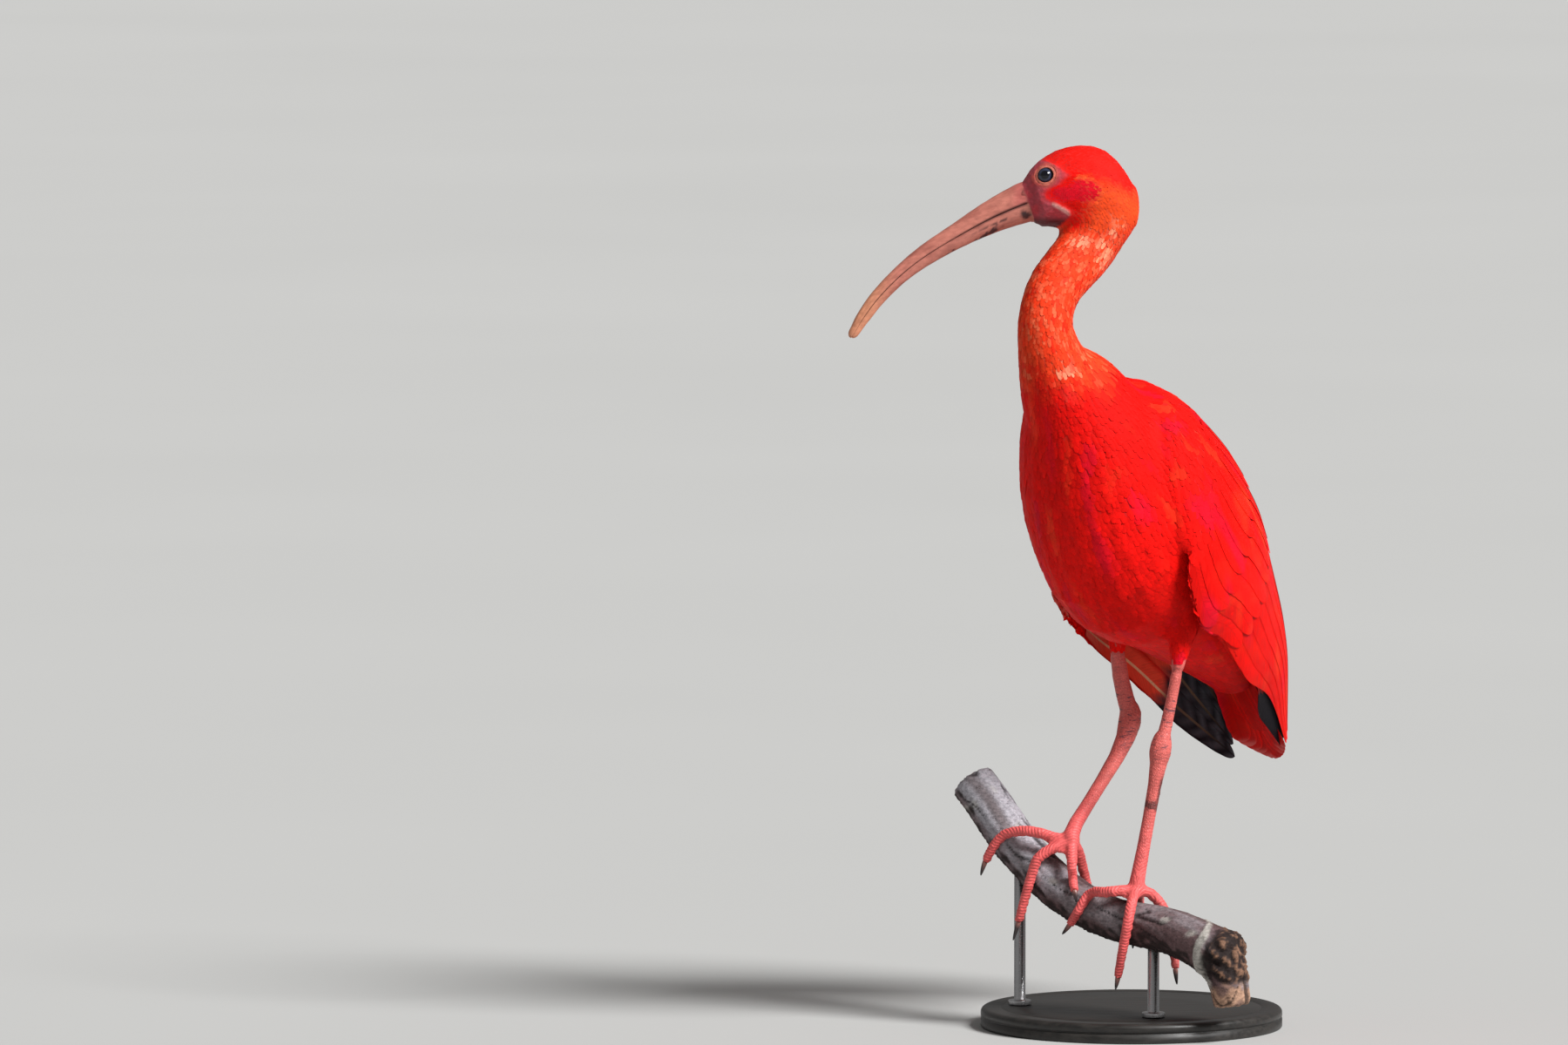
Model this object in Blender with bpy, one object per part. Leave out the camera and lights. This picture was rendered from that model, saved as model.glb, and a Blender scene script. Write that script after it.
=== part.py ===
"""A scarlet ibis, life size and still, on a short cut length of branch held by a plain stand.

The origin is the centre of the base's underside, +Z is up and the bill points towards -X.
Sizes below are in millimetres; put() turns them into Blender's metres.
The bird's body has its own directions: u runs forward, v to the bird's left and z up.
"""

import math

import bmesh
import bpy
import numpy as np
from mathutils import Vector

MM = 0.001
GAP = 0.3  # left between pieces that touch
STEP = 0.01  # share of a path over which its direction is measured
DOME_TURNS = (30, 60)  # degrees, the rings of a rounded end

# Where the body stands and which way it faces.
HEADING = math.radians(50)  # forward is -X turned this far towards -Y
BODY_X = 8.0
HEAD_HEADING = math.radians(4)  # the head looks over the bird's right shoulder
HEAD_CENTRE = (-29.0, -45.0, 513.5)

# Trunk, from the rump to the base of the neck: u, z, half the depth, half the width.
TRUNK = [
    (-84, 206, 11, 18),
    (-61, 237, 32, 38),
    (-29, 269, 50, 46),
    (9, 298, 64.5, 53),
    (38, 333, 57, 51),
    (57, 366, 45, 43),
    (71, 392, 33, 31),
    (82, 408, 22, 22),
]
TRUNK_SPLIT = 0.46  # where the rump ends and the breast begins, along the trunk
TRUNK_LENGTH = 270.0
TRUNK_DOMES = (9.0, 8.0)

# Neck, in the body's middle plane: u, v, z, half the depth, half the width.
NECK = [
    (66, 0, 372, 34, 30),
    (83, 0, 397, 26, 25),
    (94, 0, 420, 20, 19),
    (97, 0, 438, 17.5, 16.5),
    (88, 0, 457, 17.5, 16.5),
    (66, 1, 474, 18.7, 17.2),
    (53, 3, 489, 20, 18.5),
    (50, 4, 503, 21, 19),
]
NECK_SPLITS = (0.36, 0.64)
NECK_CUT = 0.0026  # share of the neck left out between two of its pieces

# Head, from the bill's root to the nape: ahead of the centre, above it, half depth, half width.
HEAD = [
    (42, -8.0, 11, 7.5),
    (35.5, -4.7, 16, 10.5),
    (28, -0.7, 20.5, 14),
    (18.5, 2.1, 23.3, 17),
    (8, 2.3, 25.6, 19),
    (-2.5, 0.8, 27.3, 20),
    (-13, -3.4, 27.3, 19.5),
    (-21.5, -7.5, 22.5, 17),
    (-28, -9.5, 14, 11),
]
EYE_AHEAD, EYE_ABOVE, EYE_SIDE = 25.5, 10.0, 8.6
EYE_RADIUS = 5.5

# Bill, along the line where the mandibles meet: ahead, above, half depth, half width.
BILL = [
    (33, -6.0, 12.5, 7.6),
    (39, -7.4, 12.0, 7.2),
    (57.5, -15.4, 9.9, 5.6),
    (76.5, -25.6, 7.7, 4.6),
    (96.5, -37.6, 6.4, 4.0),
    (112, -49.3, 5.3, 3.6),
    (126, -63.3, 4.7, 3.2),
    (135.5, -75.8, 4.1, 2.9),
    (140.5, -84.0, 3.2, 2.4),
]
BILL_TIPS = {"bill_upper": 5.0, "bill_lower": 3.0}  # length of each rounded tip

# Wing: the line along the back (u, z), the lower edge (u, v, z) and the inner edge's v.
# The right wing's tip hangs a little lower than the left's.
WING_BACK = [(28, 402), (-6, 390), (-39, 366), (-66, 333), (-89, 294), (-108, 243), (-118, 178)]
WING_EDGES = {
    "left": [
        (41, 53, 350), (34, 57, 300), (16, 54, 252), (-12, 51, 240),
        (-42, 46, 215), (-78, 36, 199), (-116, 18, 165),
    ],
    "right": [
        (41, 53, 350), (35, 57, 300), (18, 54, 255), (-12, 51, 229),
        (-40, 45, 209), (-70, 33, 181), (-105, 18, 158),
    ],
}
WING_INNER = (1.2, 1.2, 1.2, 1.2, 2, 5, 12)
WING_TURNS = (98, 114, 123, 122, 114, 108, 104)  # degrees each section turns round the body
WING_THICK, WING_TIP_THICK = 9.0, 2.4
WING_EDGE_THICK = 0.28  # share of the thickness left at the lower edge
WING_SPLIT = 0.74  # where the wing tip begins
WING_LENGTH = 260.0

# Tail: u, z, half the thickness, half the width.
TAIL = [
    (-64, 243, 10, 14),
    (-80, 219, 5.5, 17),
    (-98, 193, 3.4, 19),
    (-113, 171, 2.4, 19.5),
    (-120, 160, 1.6, 17),
]
TAIL_TIP = 3.0

# Legs, left then right: thigh, bare shank and lower leg, as u, v, z, radius.
LEGS = {
    "left": {
        "thigh": [
            (-4, 20, 292, 18), (-1, 29, 268, 16.5), (4, 32.5, 249, 11.8), (8, 33, 234, 7.2),
            (10, 33, 222, 4.8),
        ],
        "shank": [(8, 33, 232, 3.3), (11, 32.5, 216, 3.2), (16, 30.5, 193, 3.3), (19.5, 28.3, 176, 4.6)],
        "lower": [
            (19, 28.6, 180, 5.4), (20.5, 28, 172, 6.7), (23.5, 27.6, 158, 4.3),
            (31, 26.4, 126, 3.7), (38.5, 25.2, 96, 4.4), (40, 25, 88, 5.6),
        ],
    },
    "right": {
        "thigh": [
            (-24, -20, 296, 18), (-22, -29, 272, 16.5), (-18, -32.5, 252, 11.8), (-15, -33, 238, 7.6),
            (-14, -33, 226, 5.2),
        ],
        "shank": [
            (-14.5, -33, 236, 4.2), (-15, -33, 219, 4.6), (-18.5, -31.5, 202, 5.0), (-22.5, -30.3, 189, 5.6),
        ],
        "lower": [
            (-22.5, -30.3, 192, 5.8), (-22.5, -30, 183.5, 7.0), (-13, -29.5, 167, 5.0),
            (13, -27.4, 144, 3.9), (37, -25.4, 124, 4.4), (41, -25, 116, 5.6),
        ],
    },
}
THIGH_TOP = 8.0  # length of a thigh's rounded top
HOCK_TOP, PAD_END = 4.0, 4.5  # of the lower leg's rounded ends

# Perch: x, z and radius along its middle line. It comes nearer in y as it runs to +X.
PERCH = [
    (-97, 147, 13), (-84, 130, 13.2), (-75, 117, 13.4), (-64, 104, 13.2), (-50, 90, 12.8), (-34, 79, 12.4),
    (-19, 72, 12.4), (-4, 68.5, 12.6), (15, 67, 13), (31, 63, 13.4), (44, 57.5, 14.5), (55, 52, 17),
]
PERCH_Y, PERCH_SLOPE = -45.4, -0.8
STUB = [(53, 55, 12), (55, 45, 12.5), (57, 34, 11.5), (58.5, 24, 11)]

# Toes, in world x, y, z. A place given as (x, z) rests on the bark, before or behind the perch.
TOES = {
    "left": {
        "inner": ("front", [(-6, -49, 89), (-16, -50, 88), (-26, 86), (-33, 76), (-38, 66.5)], (-43, 60)),
        "middle": (
            "front",
            [(0, -53, 86), (-2.5, 78), (-4, 70), (-6, -62, 59), (-8, -58, 47), (-9.5, -55, 37)],
            (-11, 29),
        ),
        "outer": (
            "back",
            [(8, -46, 88), (13, -43, 84), (18.5, 77), (23, 64), (25, -44, 50), (25.5, -46, 41)],
            (26.5, 31),
        ),
        "hind": ("back", [(3, -40, 86), (4, -30.5, 80.5), (3, 70), (1, 60)], (0, 51)),
    },
    "right": {
        "inner": ("front", [(-37, -22, 109), (-37, -29, 101), (-36.5, 94), (-35.5, 87)], (-34.5, 80)),
        "middle": ("front", [(-45, -18, 113), (-57, -19, 106), (-61, 96), (-65.5, -15, 80), (-69, -12, 66)],
                   (-72.5, 54)),
        "outer": (
            "front",
            [(-46, -15, 117), (-61, -12, 121), (-76, 119), (-84, 111), (-89, 4, 101)],
            (-92, 92),
        ),
        "hind": ("back", [(-33, -12, 109), (-30, -7, 98), (-27, 86), (-24, 76)], (-23, 67)),
    },
}
TOE_ROOT_RADIUS = 3.7
TOE_RADII = (3.4, 2.5)  # after the root, narrowing to the end
TOE_CLEAR = 1.25  # from the bark to a toe's widest ring
TOE_STUB, TOE_CUT = 0.24, 0.01  # share of each toe that belongs to the foot, and of the gap after it
CLAW_ROOT = (1.7, 1.9)  # half width and half depth
CLAW_MIDDLE = (1.1, 1.4)
CLAW_TIP = (0.35, 0.45)
CLAW_STRAIGHT = 1.2  # length before the claw bends
CLAW_ARCH = 0.7
CLAW_CLEAR = 2.0
REACH = 45.0  # past the far side of the bark, where a toe's place is looked for

# Stand.
BASE_RADIUS, BASE_HEIGHT, BASE_BEVEL = 92.0, 12.0, 2.5
BASE_SIDES, ROD_SIDES = 40, 12
ROD_RADIUS = 3.5
RODS = {"stand_rod_front": 12.0, "stand_rod_rear": -68.0}  # x of each, under the perch
ROD_SINK = 5.0  # how far a rod goes up into the perch

COLOURS = {
    "feather": ((0.80, 0.02, 0.01), 0.6),
    "tip": ((0.03, 0.02, 0.025), 0.5),
    "face": ((0.55, 0.08, 0.08), 0.5),
    "leg": ((0.75, 0.16, 0.13), 0.5),
    "bill": ((0.50, 0.20, 0.15), 0.4),
    "claw": ((0.06, 0.045, 0.04), 0.35),
    "eye": ((0.03, 0.035, 0.05), 0.1),
    "bark": ((0.16, 0.11, 0.09), 0.85),
    "base": ((0.02, 0.02, 0.02), 0.5),
    "rod": ((0.45, 0.45, 0.46), 0.3),
}


# Places


def body(u, v, z):
    """World place of a point given in the body's own directions."""
    cos, sin = math.cos(HEADING), math.sin(HEADING)
    return (BODY_X - cos * u + sin * v, -sin * u - cos * v, z)


def head(ahead, above, side=0.0):
    """World place of a point given from the head's centre; side is to the bird's left."""
    cos, sin = math.cos(HEAD_HEADING), math.sin(HEAD_HEADING)
    x, y, z = HEAD_CENTRE
    return (x - cos * ahead + sin * side, y - sin * ahead - cos * side, z + above)


BODY_SIDE = Vector(body(0, 1, 0)) - Vector(body(0, 0, 0))
HEAD_SIDE = Vector(head(0, 0, 1)) - Vector(head(0, 0, 0))
ACROSS_PERCH = Vector((0.6, 0.8, 0))


def smooth(rows, t):
    """A row on the smooth curve through rows, at t from 0 to 1."""
    rows = np.asarray(rows, float)
    first, last = 2 * rows[0] - rows[1], 2 * rows[-1] - rows[-2]
    padded = np.vstack([first, rows, last])
    place = min(max(t, 0.0), 1.0) * (len(rows) - 1)
    i = min(int(place), len(rows) - 2)
    f = place - i
    a, b, c, d = padded[i : i + 4]
    return 0.5 * (2 * b + (c - a) * f + (2 * a - 5 * b + 4 * c - d) * f**2 + (3 * b - a - 3 * c + d) * f**3)


# Meshes


def put(bm, place):
    return bm.verts.new(Vector(place) * MM)


def oval(sides, power=2.0):
    """Unit outline points as (side, up); a power over 2 squares the outline a little."""
    for i in range(sides):
        angle = 2 * math.pi * i / sides
        c, s = math.cos(angle), math.sin(angle)
        across = math.copysign(abs(c) ** (2 / power), c)
        up = math.copysign(abs(s) ** (2 / power), s)
        yield across, up


def half_oval(sides, upward, clear):
    """Outline of one mandible: a half oval, closed by a flat clear of the middle."""
    for i in range(sides):
        angle = math.pi * i / (sides - 1)
        up = max(math.sin(angle), 0.0)
        across = math.cos(angle)
        yield (across, max(up, clear)) if upward else (-across, -max(up, clear))


def loft(rows, side, outline, rings, span=(0.0, 1.0), domes=(0.0, 0.0), grow=0.0, along=None):
    """A closed skin over rings: rows are x, y, z, half width, half depth along a path.

    The rings stand square to the path or, where along is given, square to that.
    """
    bm = bmesh.new()
    ts = np.linspace(span[0], span[1], rings)
    made = []

    def frame_at(t):
        inside = min(max(t, STEP), 1 - STEP)
        path = Vector(smooth(rows, inside + STEP)[:3] - smooth(rows, inside - STEP)[:3])
        way = (along or path).normalized()
        across = (side - side.dot(way) * way).normalized()
        return way, across, across.cross(way)

    def add_ring(t, shift=0.0, scale=1.0):
        way, across, up = frame_at(t)
        x, y, z, half_width, half_depth = smooth(rows, t)
        centre = Vector((x, y, z)) + way * shift
        wide, deep = (half_width + grow) * scale, (half_depth + grow) * scale
        return [put(bm, centre + across * (a * wide) + up * (b * deep)) for a, b in outline]

    def add_dome(t, length, way):
        for turn in DOME_TURNS[::way]:
            angle = math.radians(turn)
            made.append(add_ring(t, way * length * math.sin(angle), math.cos(angle)))

    outline = list(outline)
    reach = [length + grow if length else grow for length in domes]
    if domes[0]:
        add_dome(ts[0], reach[0], -1)
    for t in ts:
        shift = 0.0
        if t == ts[0] and not domes[0]:
            shift = -grow
        if t == ts[-1] and not domes[1]:
            shift = grow
        made.append(add_ring(t, shift))
    if domes[1]:
        add_dome(ts[-1], reach[1], 1)
    ends = []
    for t, way, length in ((ts[0], -1, reach[0]), (ts[-1], 1, reach[1])):
        centre = Vector(smooth(rows, t)[:3]) + frame_at(t)[0] * (way * length)
        if not domes[0 if way < 0 else 1]:
            middle = [vert.co for vert in made[0 if way < 0 else -1]]
            ends.append(bm.verts.new(sum(middle, Vector()) / len(middle)))
        else:
            ends.append(put(bm, centre))
    for low, high in zip(made, made[1:]):
        for i in range(len(outline)):
            j = (i + 1) % len(outline)
            bm.faces.new((low[i], low[j], high[j], high[i]))
    for i in range(len(outline)):
        j = (i + 1) % len(outline)
        bm.faces.new((ends[0], made[0][j], made[0][i]))
        bm.faces.new((ends[1], made[-1][i], made[-1][j]))
    return bm


def finish(name, bm, colour, helper=False):
    """An object from bm: a node of its own colour, or a hidden helper."""
    bmesh.ops.recalc_face_normals(bm, faces=bm.faces)
    mesh = bpy.data.meshes.new(name)
    bm.to_mesh(mesh)
    bm.free()
    mesh.shade_smooth()
    mesh.set_sharp_from_angle(angle=math.radians(40))
    obj = bpy.data.objects.new(name, mesh)
    bpy.context.collection.objects.link(obj)
    if helper:
        obj.hide_render = True
        obj.display_type = "WIRE"
    else:
        mesh.materials.append(material(colour))
    return obj


def material(name):
    found = bpy.data.materials.get(name)
    if found:
        return found
    made = bpy.data.materials.new(name)
    made.use_nodes = True
    (red, green, blue), roughness = COLOURS[name]
    shader = made.node_tree.nodes["Principled BSDF"]
    shader.inputs["Base Color"].default_value = (red, green, blue, 1.0)
    shader.inputs["Roughness"].default_value = roughness
    shader.inputs["Metallic"].default_value = 1.0 if name == "rod" else 0.0
    return made


def combine(target, other, operation):
    """Cut or join another object with a Boolean that stays on the target."""
    modifier = target.modifiers.new(f"{operation.lower()}_{other.name}", "BOOLEAN")
    modifier.operation = operation
    modifier.solver = "EXACT"
    modifier.object = other


def cutter(name, bm):
    return finish(f"clear_{name}", bm, None, helper=True)


# Trunk, neck and head


def trunk_loft(span=(0.0, 1.0), rings=19, grow=0.0, domes=TRUNK_DOMES):
    rows = [(*body(u, 0, z), wide, deep) for u, z, deep, wide in TRUNK]
    return loft(rows, BODY_SIDE, oval(24, 2.15), rings, span, domes, grow)


def build_trunk():
    cut = GAP / TRUNK_LENGTH
    back, front = TRUNK_DOMES
    finish("rump", trunk_loft((0.0, TRUNK_SPLIT), 9, domes=(back, 0.0)), "feather")
    finish("breast", trunk_loft((TRUNK_SPLIT + cut, 1.0), 10, domes=(0.0, front)), "feather")
    return cutter("trunk", trunk_loft(grow=GAP))


def head_loft(grow=0.0):
    rows = [(*head(ahead, above), wide, deep) for ahead, above, deep, wide in HEAD]
    back = Vector(head(-1, 0)) - Vector(head(0, 0))
    return loft(rows, HEAD_SIDE, oval(20, 2.1), 12, domes=(1.0, 4.0), grow=grow, along=back)


def build_neck(trunk_clear, head_clear):
    rows = [(*body(u, v, z), wide, deep) for u, v, z, deep, wide in NECK]
    side = (BODY_SIDE + HEAD_SIDE).normalized()
    low, high = NECK_SPLITS
    pieces = {
        "neck_lower": (0.0, low),
        "neck_middle": (low + NECK_CUT, high),
        "neck_upper": (high + NECK_CUT, 1.0),
    }
    for name, span in pieces.items():
        piece = finish(name, loft(rows, side, oval(18), 6, span), "feather")
        if name == "neck_lower":
            combine(piece, trunk_clear, "DIFFERENCE")
        if name == "neck_upper":
            combine(piece, head_clear, "DIFFERENCE")


def eye_ball(side, grow=0.0):
    bm = bmesh.new()
    bmesh.ops.create_icosphere(bm, subdivisions=2, radius=(EYE_RADIUS + grow) * MM)
    centre = Vector(head(EYE_AHEAD, EYE_ABOVE, side * EYE_SIDE)) * MM
    bmesh.ops.translate(bm, verts=bm.verts, vec=centre)
    return bm


def build_head():
    skull = finish("head", head_loft(), "face")
    for name, side in (("eye_left", 1), ("eye_right", -1)):
        finish(name, eye_ball(side), "eye")
        combine(skull, cutter(name, eye_ball(side, GAP)), "DIFFERENCE")
    return cutter("head", head_loft(GAP))


def build_bill(head_clear):
    rows = [(*head(ahead, above), wide, deep) for ahead, above, deep, wide in BILL]
    clear = 0.5 * GAP / BILL[-1][2]
    for name, tip in BILL_TIPS.items():
        outline = half_oval(7, name == "bill_upper", clear)
        mandible = finish(name, loft(rows, HEAD_SIDE, outline, 12, domes=(0.0, tip)), "bill")
        combine(mandible, head_clear, "DIFFERENCE")


# Wings and tail


def wing_place(t, q, side):
    """A place on the wing's outer face: t runs from shoulder to tip, q from back to lower edge."""
    back_u, back_z = smooth(WING_BACK, t)
    edge_u, edge_v, edge_z = smooth(WING_EDGES[side], t)
    inner = smooth([(v,) for v in WING_INNER], t)[0]
    turn = math.radians(smooth([(degrees,) for degrees in WING_TURNS], t)[0])
    angle = q * turn
    share = (1 - math.cos(angle)) / (1 - math.cos(turn))
    wide = (edge_v - inner) / math.sin(turn)
    v = inner + wide * math.sin(angle)
    u = back_u + (edge_u - back_u) * share
    z = back_z + (edge_z - back_z) * share
    return Vector((u, v if side == "left" else -v, z))


def wing_thickness(t, q):
    """The wing thins towards its tip and, away from the shoulder, towards its lower edge."""
    full = WING_THICK + (WING_TIP_THICK - WING_THICK) * t**0.6
    return full * min(1.0, WING_EDGE_THICK + 3.5 * (1 - q) + 2 * max(0.3 - t, 0))


def wing_mesh(span, side, rows, columns):
    """A closed shell: the outer face, an inner face drawn inwards, and the rim between them."""
    bm = bmesh.new()
    faces = [[], []]
    for t in np.linspace(*span, rows):
        middle = wing_place(t, 0.0, side).lerp(wing_place(t, 1.0, side), 0.5)
        middle.y *= 0.2  # the inner face is drawn towards a line near the body's middle
        outer_row, inner_row = [], []
        for q in np.linspace(0, 1, columns):
            outer = wing_place(t, q, side)
            inward = (middle - outer).normalized() * wing_thickness(t, q)
            outer_row.append(put(bm, body(*outer)))
            inner_row.append(put(bm, body(*(outer + inward))))
        faces[0].append(outer_row)
        faces[1].append(inner_row)
    for grid, turned in zip(faces, (False, True)):
        for low, high in zip(grid, grid[1:]):
            for i in range(columns - 1):
                corners = (low[i], low[i + 1], high[i + 1], high[i])
                bm.faces.new(corners[::-1] if turned else corners)
    rims = [
        ([row[0] for row in faces[0]], [row[0] for row in faces[1]]),
        ([row[-1] for row in faces[0]], [row[-1] for row in faces[1]]),
        (faces[0][0], faces[1][0]),
        (faces[0][-1], faces[1][-1]),
    ]
    for outer, inner in rims:
        for i in range(len(outer) - 1):
            bm.faces.new((outer[i], outer[i + 1], inner[i + 1], inner[i]))
    return bm


def tail_loft(grow=0.0):
    rows = [(*body(u, 0, z), wide, thick) for u, z, thick, wide in TAIL]
    return loft(rows, BODY_SIDE, oval(14, 2.3), 7, domes=(0.0, TAIL_TIP), grow=grow)


def build_wings_and_tail(trunk_clear, thigh_clears):
    combine(finish("tail", tail_loft(), "feather"), trunk_clear, "DIFFERENCE")
    tail_clear = cutter("tail", tail_loft(GAP))
    cut = GAP / WING_LENGTH
    for side in WING_EDGES:
        wing = finish(f"wing_{side}", wing_mesh((0.0, WING_SPLIT), side, 11, 11), "feather")
        combine(wing, trunk_clear, "DIFFERENCE")
        combine(wing, thigh_clears[side], "DIFFERENCE")
        combine(wing, tail_clear, "DIFFERENCE")
        tip = finish(f"wing_tip_{side}", wing_mesh((WING_SPLIT + cut, 1.0), side, 7, 9), "tip")
        combine(tip, tail_clear, "DIFFERENCE")


# Legs and feet


def leg_loft(rows, rings, sides, domes=(0.0, 0.0), grow=0.0):
    rows = [(*body(u, v, z), radius, radius) for u, v, z, radius in rows]
    return loft(rows, BODY_SIDE, oval(sides), rings, domes=domes, grow=grow)


def perch_row(place):
    x, z, radius = place
    return (x, PERCH_Y + PERCH_SLOPE * x, z, radius, radius)


def perch_samples():
    rows = [perch_row(row) for row in PERCH]
    return np.array([smooth(rows, t) for t in np.linspace(0, 1, 181)])


def bark_distance(place, samples=perch_samples()):
    """How far a place is from the bark; less than nothing inside it."""
    return (np.linalg.norm(samples[:, :3] - np.asarray(place), axis=1) - samples[:, 3]).min()


def on_bark(x, z, way, clearance):
    """The place at x and z where a toe of that thickness rests on the perch's near or far side."""
    middle = PERCH_Y + PERCH_SLOPE * x
    inside, outside = middle, middle + way * REACH
    if bark_distance((x, inside, z)) > clearance:
        return (x, middle + way * 2 * TOE_RADII[0], z)
    for _ in range(30):  # halvings, down to far less than a hair
        y = 0.5 * (inside + outside)
        if bark_distance((x, y, z)) > clearance:
            outside = y
        else:
            inside = y
    return (x, outside, z)


def toe_rows(foot, way, places, claw):
    """Rows of a toe from the foot's centre to its end, then of its claw."""
    rows = [(*foot, TOE_ROOT_RADIUS, TOE_ROOT_RADIUS)]
    thick, thin = TOE_RADII
    for i, place in enumerate(places):
        radius = thick + (thin - thick) * (i + 1) / len(places)
        if len(place) == 2:
            place = on_bark(*place, way, radius + TOE_CLEAR)
        rows.append((*place, radius, radius))
    end = Vector(rows[-1][:3])
    tip = Vector((claw[0], end.y, claw[1]))
    if bark_distance(tip) < CLAW_CLEAR + CLAW_TIP[1]:
        tip = Vector(on_bark(*claw, way, CLAW_CLEAR))
    along = (end - Vector(smooth(rows, 1 - STEP)[:3])).normalized()
    start = end + along * GAP
    second = start + along * CLAW_STRAIGHT
    middle = second.lerp(tip, 0.5) + along * CLAW_ARCH
    claw_rows = [(*start, *CLAW_ROOT), (*second, *CLAW_ROOT), (*middle, *CLAW_MIDDLE), (*tip, *CLAW_TIP)]
    return rows, claw_rows


def build_leg(side, trunk_clear):
    """Thigh, shank, foot, toes and claws; the foot holds the hock, the lower leg and each toe's root."""
    leg = LEGS[side]

    def thigh_loft(grow=0.0):
        return leg_loft(leg["thigh"], 8, 14, (THIGH_TOP, 0.0), grow)

    def lower_loft(grow=0.0):
        return leg_loft(leg["lower"], 10, 9, (HOCK_TOP, PAD_END), grow)

    combine(finish(f"thigh_{side}", thigh_loft(), "feather"), trunk_clear, "DIFFERENCE")
    thigh_clear = cutter(f"thigh_{side}", thigh_loft(GAP))
    shank = finish(f"shank_{side}", leg_loft(leg["shank"], 5, 10), "leg")
    combine(shank, thigh_clear, "DIFFERENCE")
    combine(shank, cutter(f"lower_{side}", lower_loft(GAP)), "DIFFERENCE")
    foot = finish(f"foot_{side}", lower_loft(), "leg")
    pad = body(*leg["lower"][-1][:3])
    for name, (where, places, claw) in TOES[side].items():
        rows, claw_rows = toe_rows(pad, 1 if where == "back" else -1, places, claw)
        stub = loft(rows, ACROSS_PERCH, oval(7), 3, (0.0, TOE_STUB))
        combine(foot, finish(f"join_{name}_{side}", stub, None, helper=True), "UNION")
        toe = loft(rows, ACROSS_PERCH, oval(7), 9, (TOE_STUB + TOE_CUT, 1.0))
        finish(f"toe_{name}_{side}", toe, "leg")
        finish(f"claw_{name}_{side}", loft(claw_rows, ACROSS_PERCH, oval(6), 5), "claw")
    return thigh_clear


# Perch and stand


def build_perch():
    rows = [perch_row(row) for row in PERCH]
    branch = finish("perch_branch", loft(rows, Vector((0, 0, 1)), oval(14), 16, domes=(0.0, 5.0)), "bark")
    stub_rows = [(x, perch_row(PERCH[-1])[1], z, radius, radius) for x, z, radius in STUB]
    stub = finish("join_stub", loft(stub_rows, Vector((0, 1, 0)), oval(10), 4), None, helper=True)
    combine(branch, stub, "UNION")
    return branch


def perch_centre_at(x):
    """The row of the perch's middle line nearest that x."""
    return min(perch_samples(), key=lambda row: abs(row[0] - x))


def drum(x, y, low, high, radius, sides):
    """An upright cylinder."""
    bm = bmesh.new()
    thick, deep = radius * MM, (high - low) * MM
    bmesh.ops.create_cone(bm, cap_ends=True, segments=sides, radius1=thick, radius2=thick, depth=deep)
    bmesh.ops.translate(bm, verts=bm.verts, vec=Vector((x, y, (low + high) / 2)) * MM)
    return bm


def build_stand(branch):
    bm = drum(0, 0, 0, BASE_HEIGHT, BASE_RADIUS, BASE_SIDES)
    top = [edge for edge in bm.edges if all(vert.co.z > BASE_HEIGHT / 2 * MM for vert in edge.verts)]
    bmesh.ops.bevel(bm, geom=top, offset=BASE_BEVEL * MM, segments=2, profile=0.5, affect="EDGES")
    finish("stand_base", bm, "base")
    for name, x in RODS.items():
        _, y, z, radius, _ = perch_centre_at(x)
        foot, top = BASE_HEIGHT + GAP, z - radius + ROD_SINK
        finish(name, drum(x, y, foot, top, ROD_RADIUS, ROD_SIDES), "rod")
        socket = drum(x, y, foot, top + GAP, ROD_RADIUS + GAP, ROD_SIDES)
        combine(branch, cutter(name, socket), "DIFFERENCE")


def main():
    for obj in list(bpy.data.objects):
        bpy.data.objects.remove(obj)
    trunk_clear = build_trunk()
    head_clear = build_head()
    build_neck(trunk_clear, head_clear)
    build_bill(head_clear)
    thigh_clears = {side: build_leg(side, trunk_clear) for side in LEGS}
    build_wings_and_tail(trunk_clear, thigh_clears)
    build_stand(build_perch())


main()
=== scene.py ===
"""The looks of a still, life-size scarlet ibis on its perch and stand.

One skin replaces the flesh; over it lie thousands of small vanes, and longer ones make the wings and tail.
Places are in millimetres in the CAD's own frame, as numpy arrays; MM turns them into Blender's metres.
The body has its own directions: u runs forward, v to the bird's left and z up.
"""

import copy
import heapq
import math

import bmesh
import bpy
import numpy as np
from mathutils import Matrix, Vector
from mathutils.bvhtree import BVHTree


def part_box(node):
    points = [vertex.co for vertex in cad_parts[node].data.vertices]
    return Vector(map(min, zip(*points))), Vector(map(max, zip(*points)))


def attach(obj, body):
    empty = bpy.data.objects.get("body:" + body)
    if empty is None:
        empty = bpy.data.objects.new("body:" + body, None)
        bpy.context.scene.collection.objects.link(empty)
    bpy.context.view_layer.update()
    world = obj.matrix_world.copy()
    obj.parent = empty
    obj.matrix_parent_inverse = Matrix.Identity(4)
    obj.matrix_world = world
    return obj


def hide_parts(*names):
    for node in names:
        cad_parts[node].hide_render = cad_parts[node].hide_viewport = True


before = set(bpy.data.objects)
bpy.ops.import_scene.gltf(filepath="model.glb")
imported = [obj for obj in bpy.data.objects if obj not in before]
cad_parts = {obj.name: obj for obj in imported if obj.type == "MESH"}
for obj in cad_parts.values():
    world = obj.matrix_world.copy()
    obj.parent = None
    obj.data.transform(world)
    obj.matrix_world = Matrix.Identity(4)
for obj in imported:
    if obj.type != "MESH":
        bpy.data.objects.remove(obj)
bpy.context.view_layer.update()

MM = 0.001
rng = np.random.default_rng(7)

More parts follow.
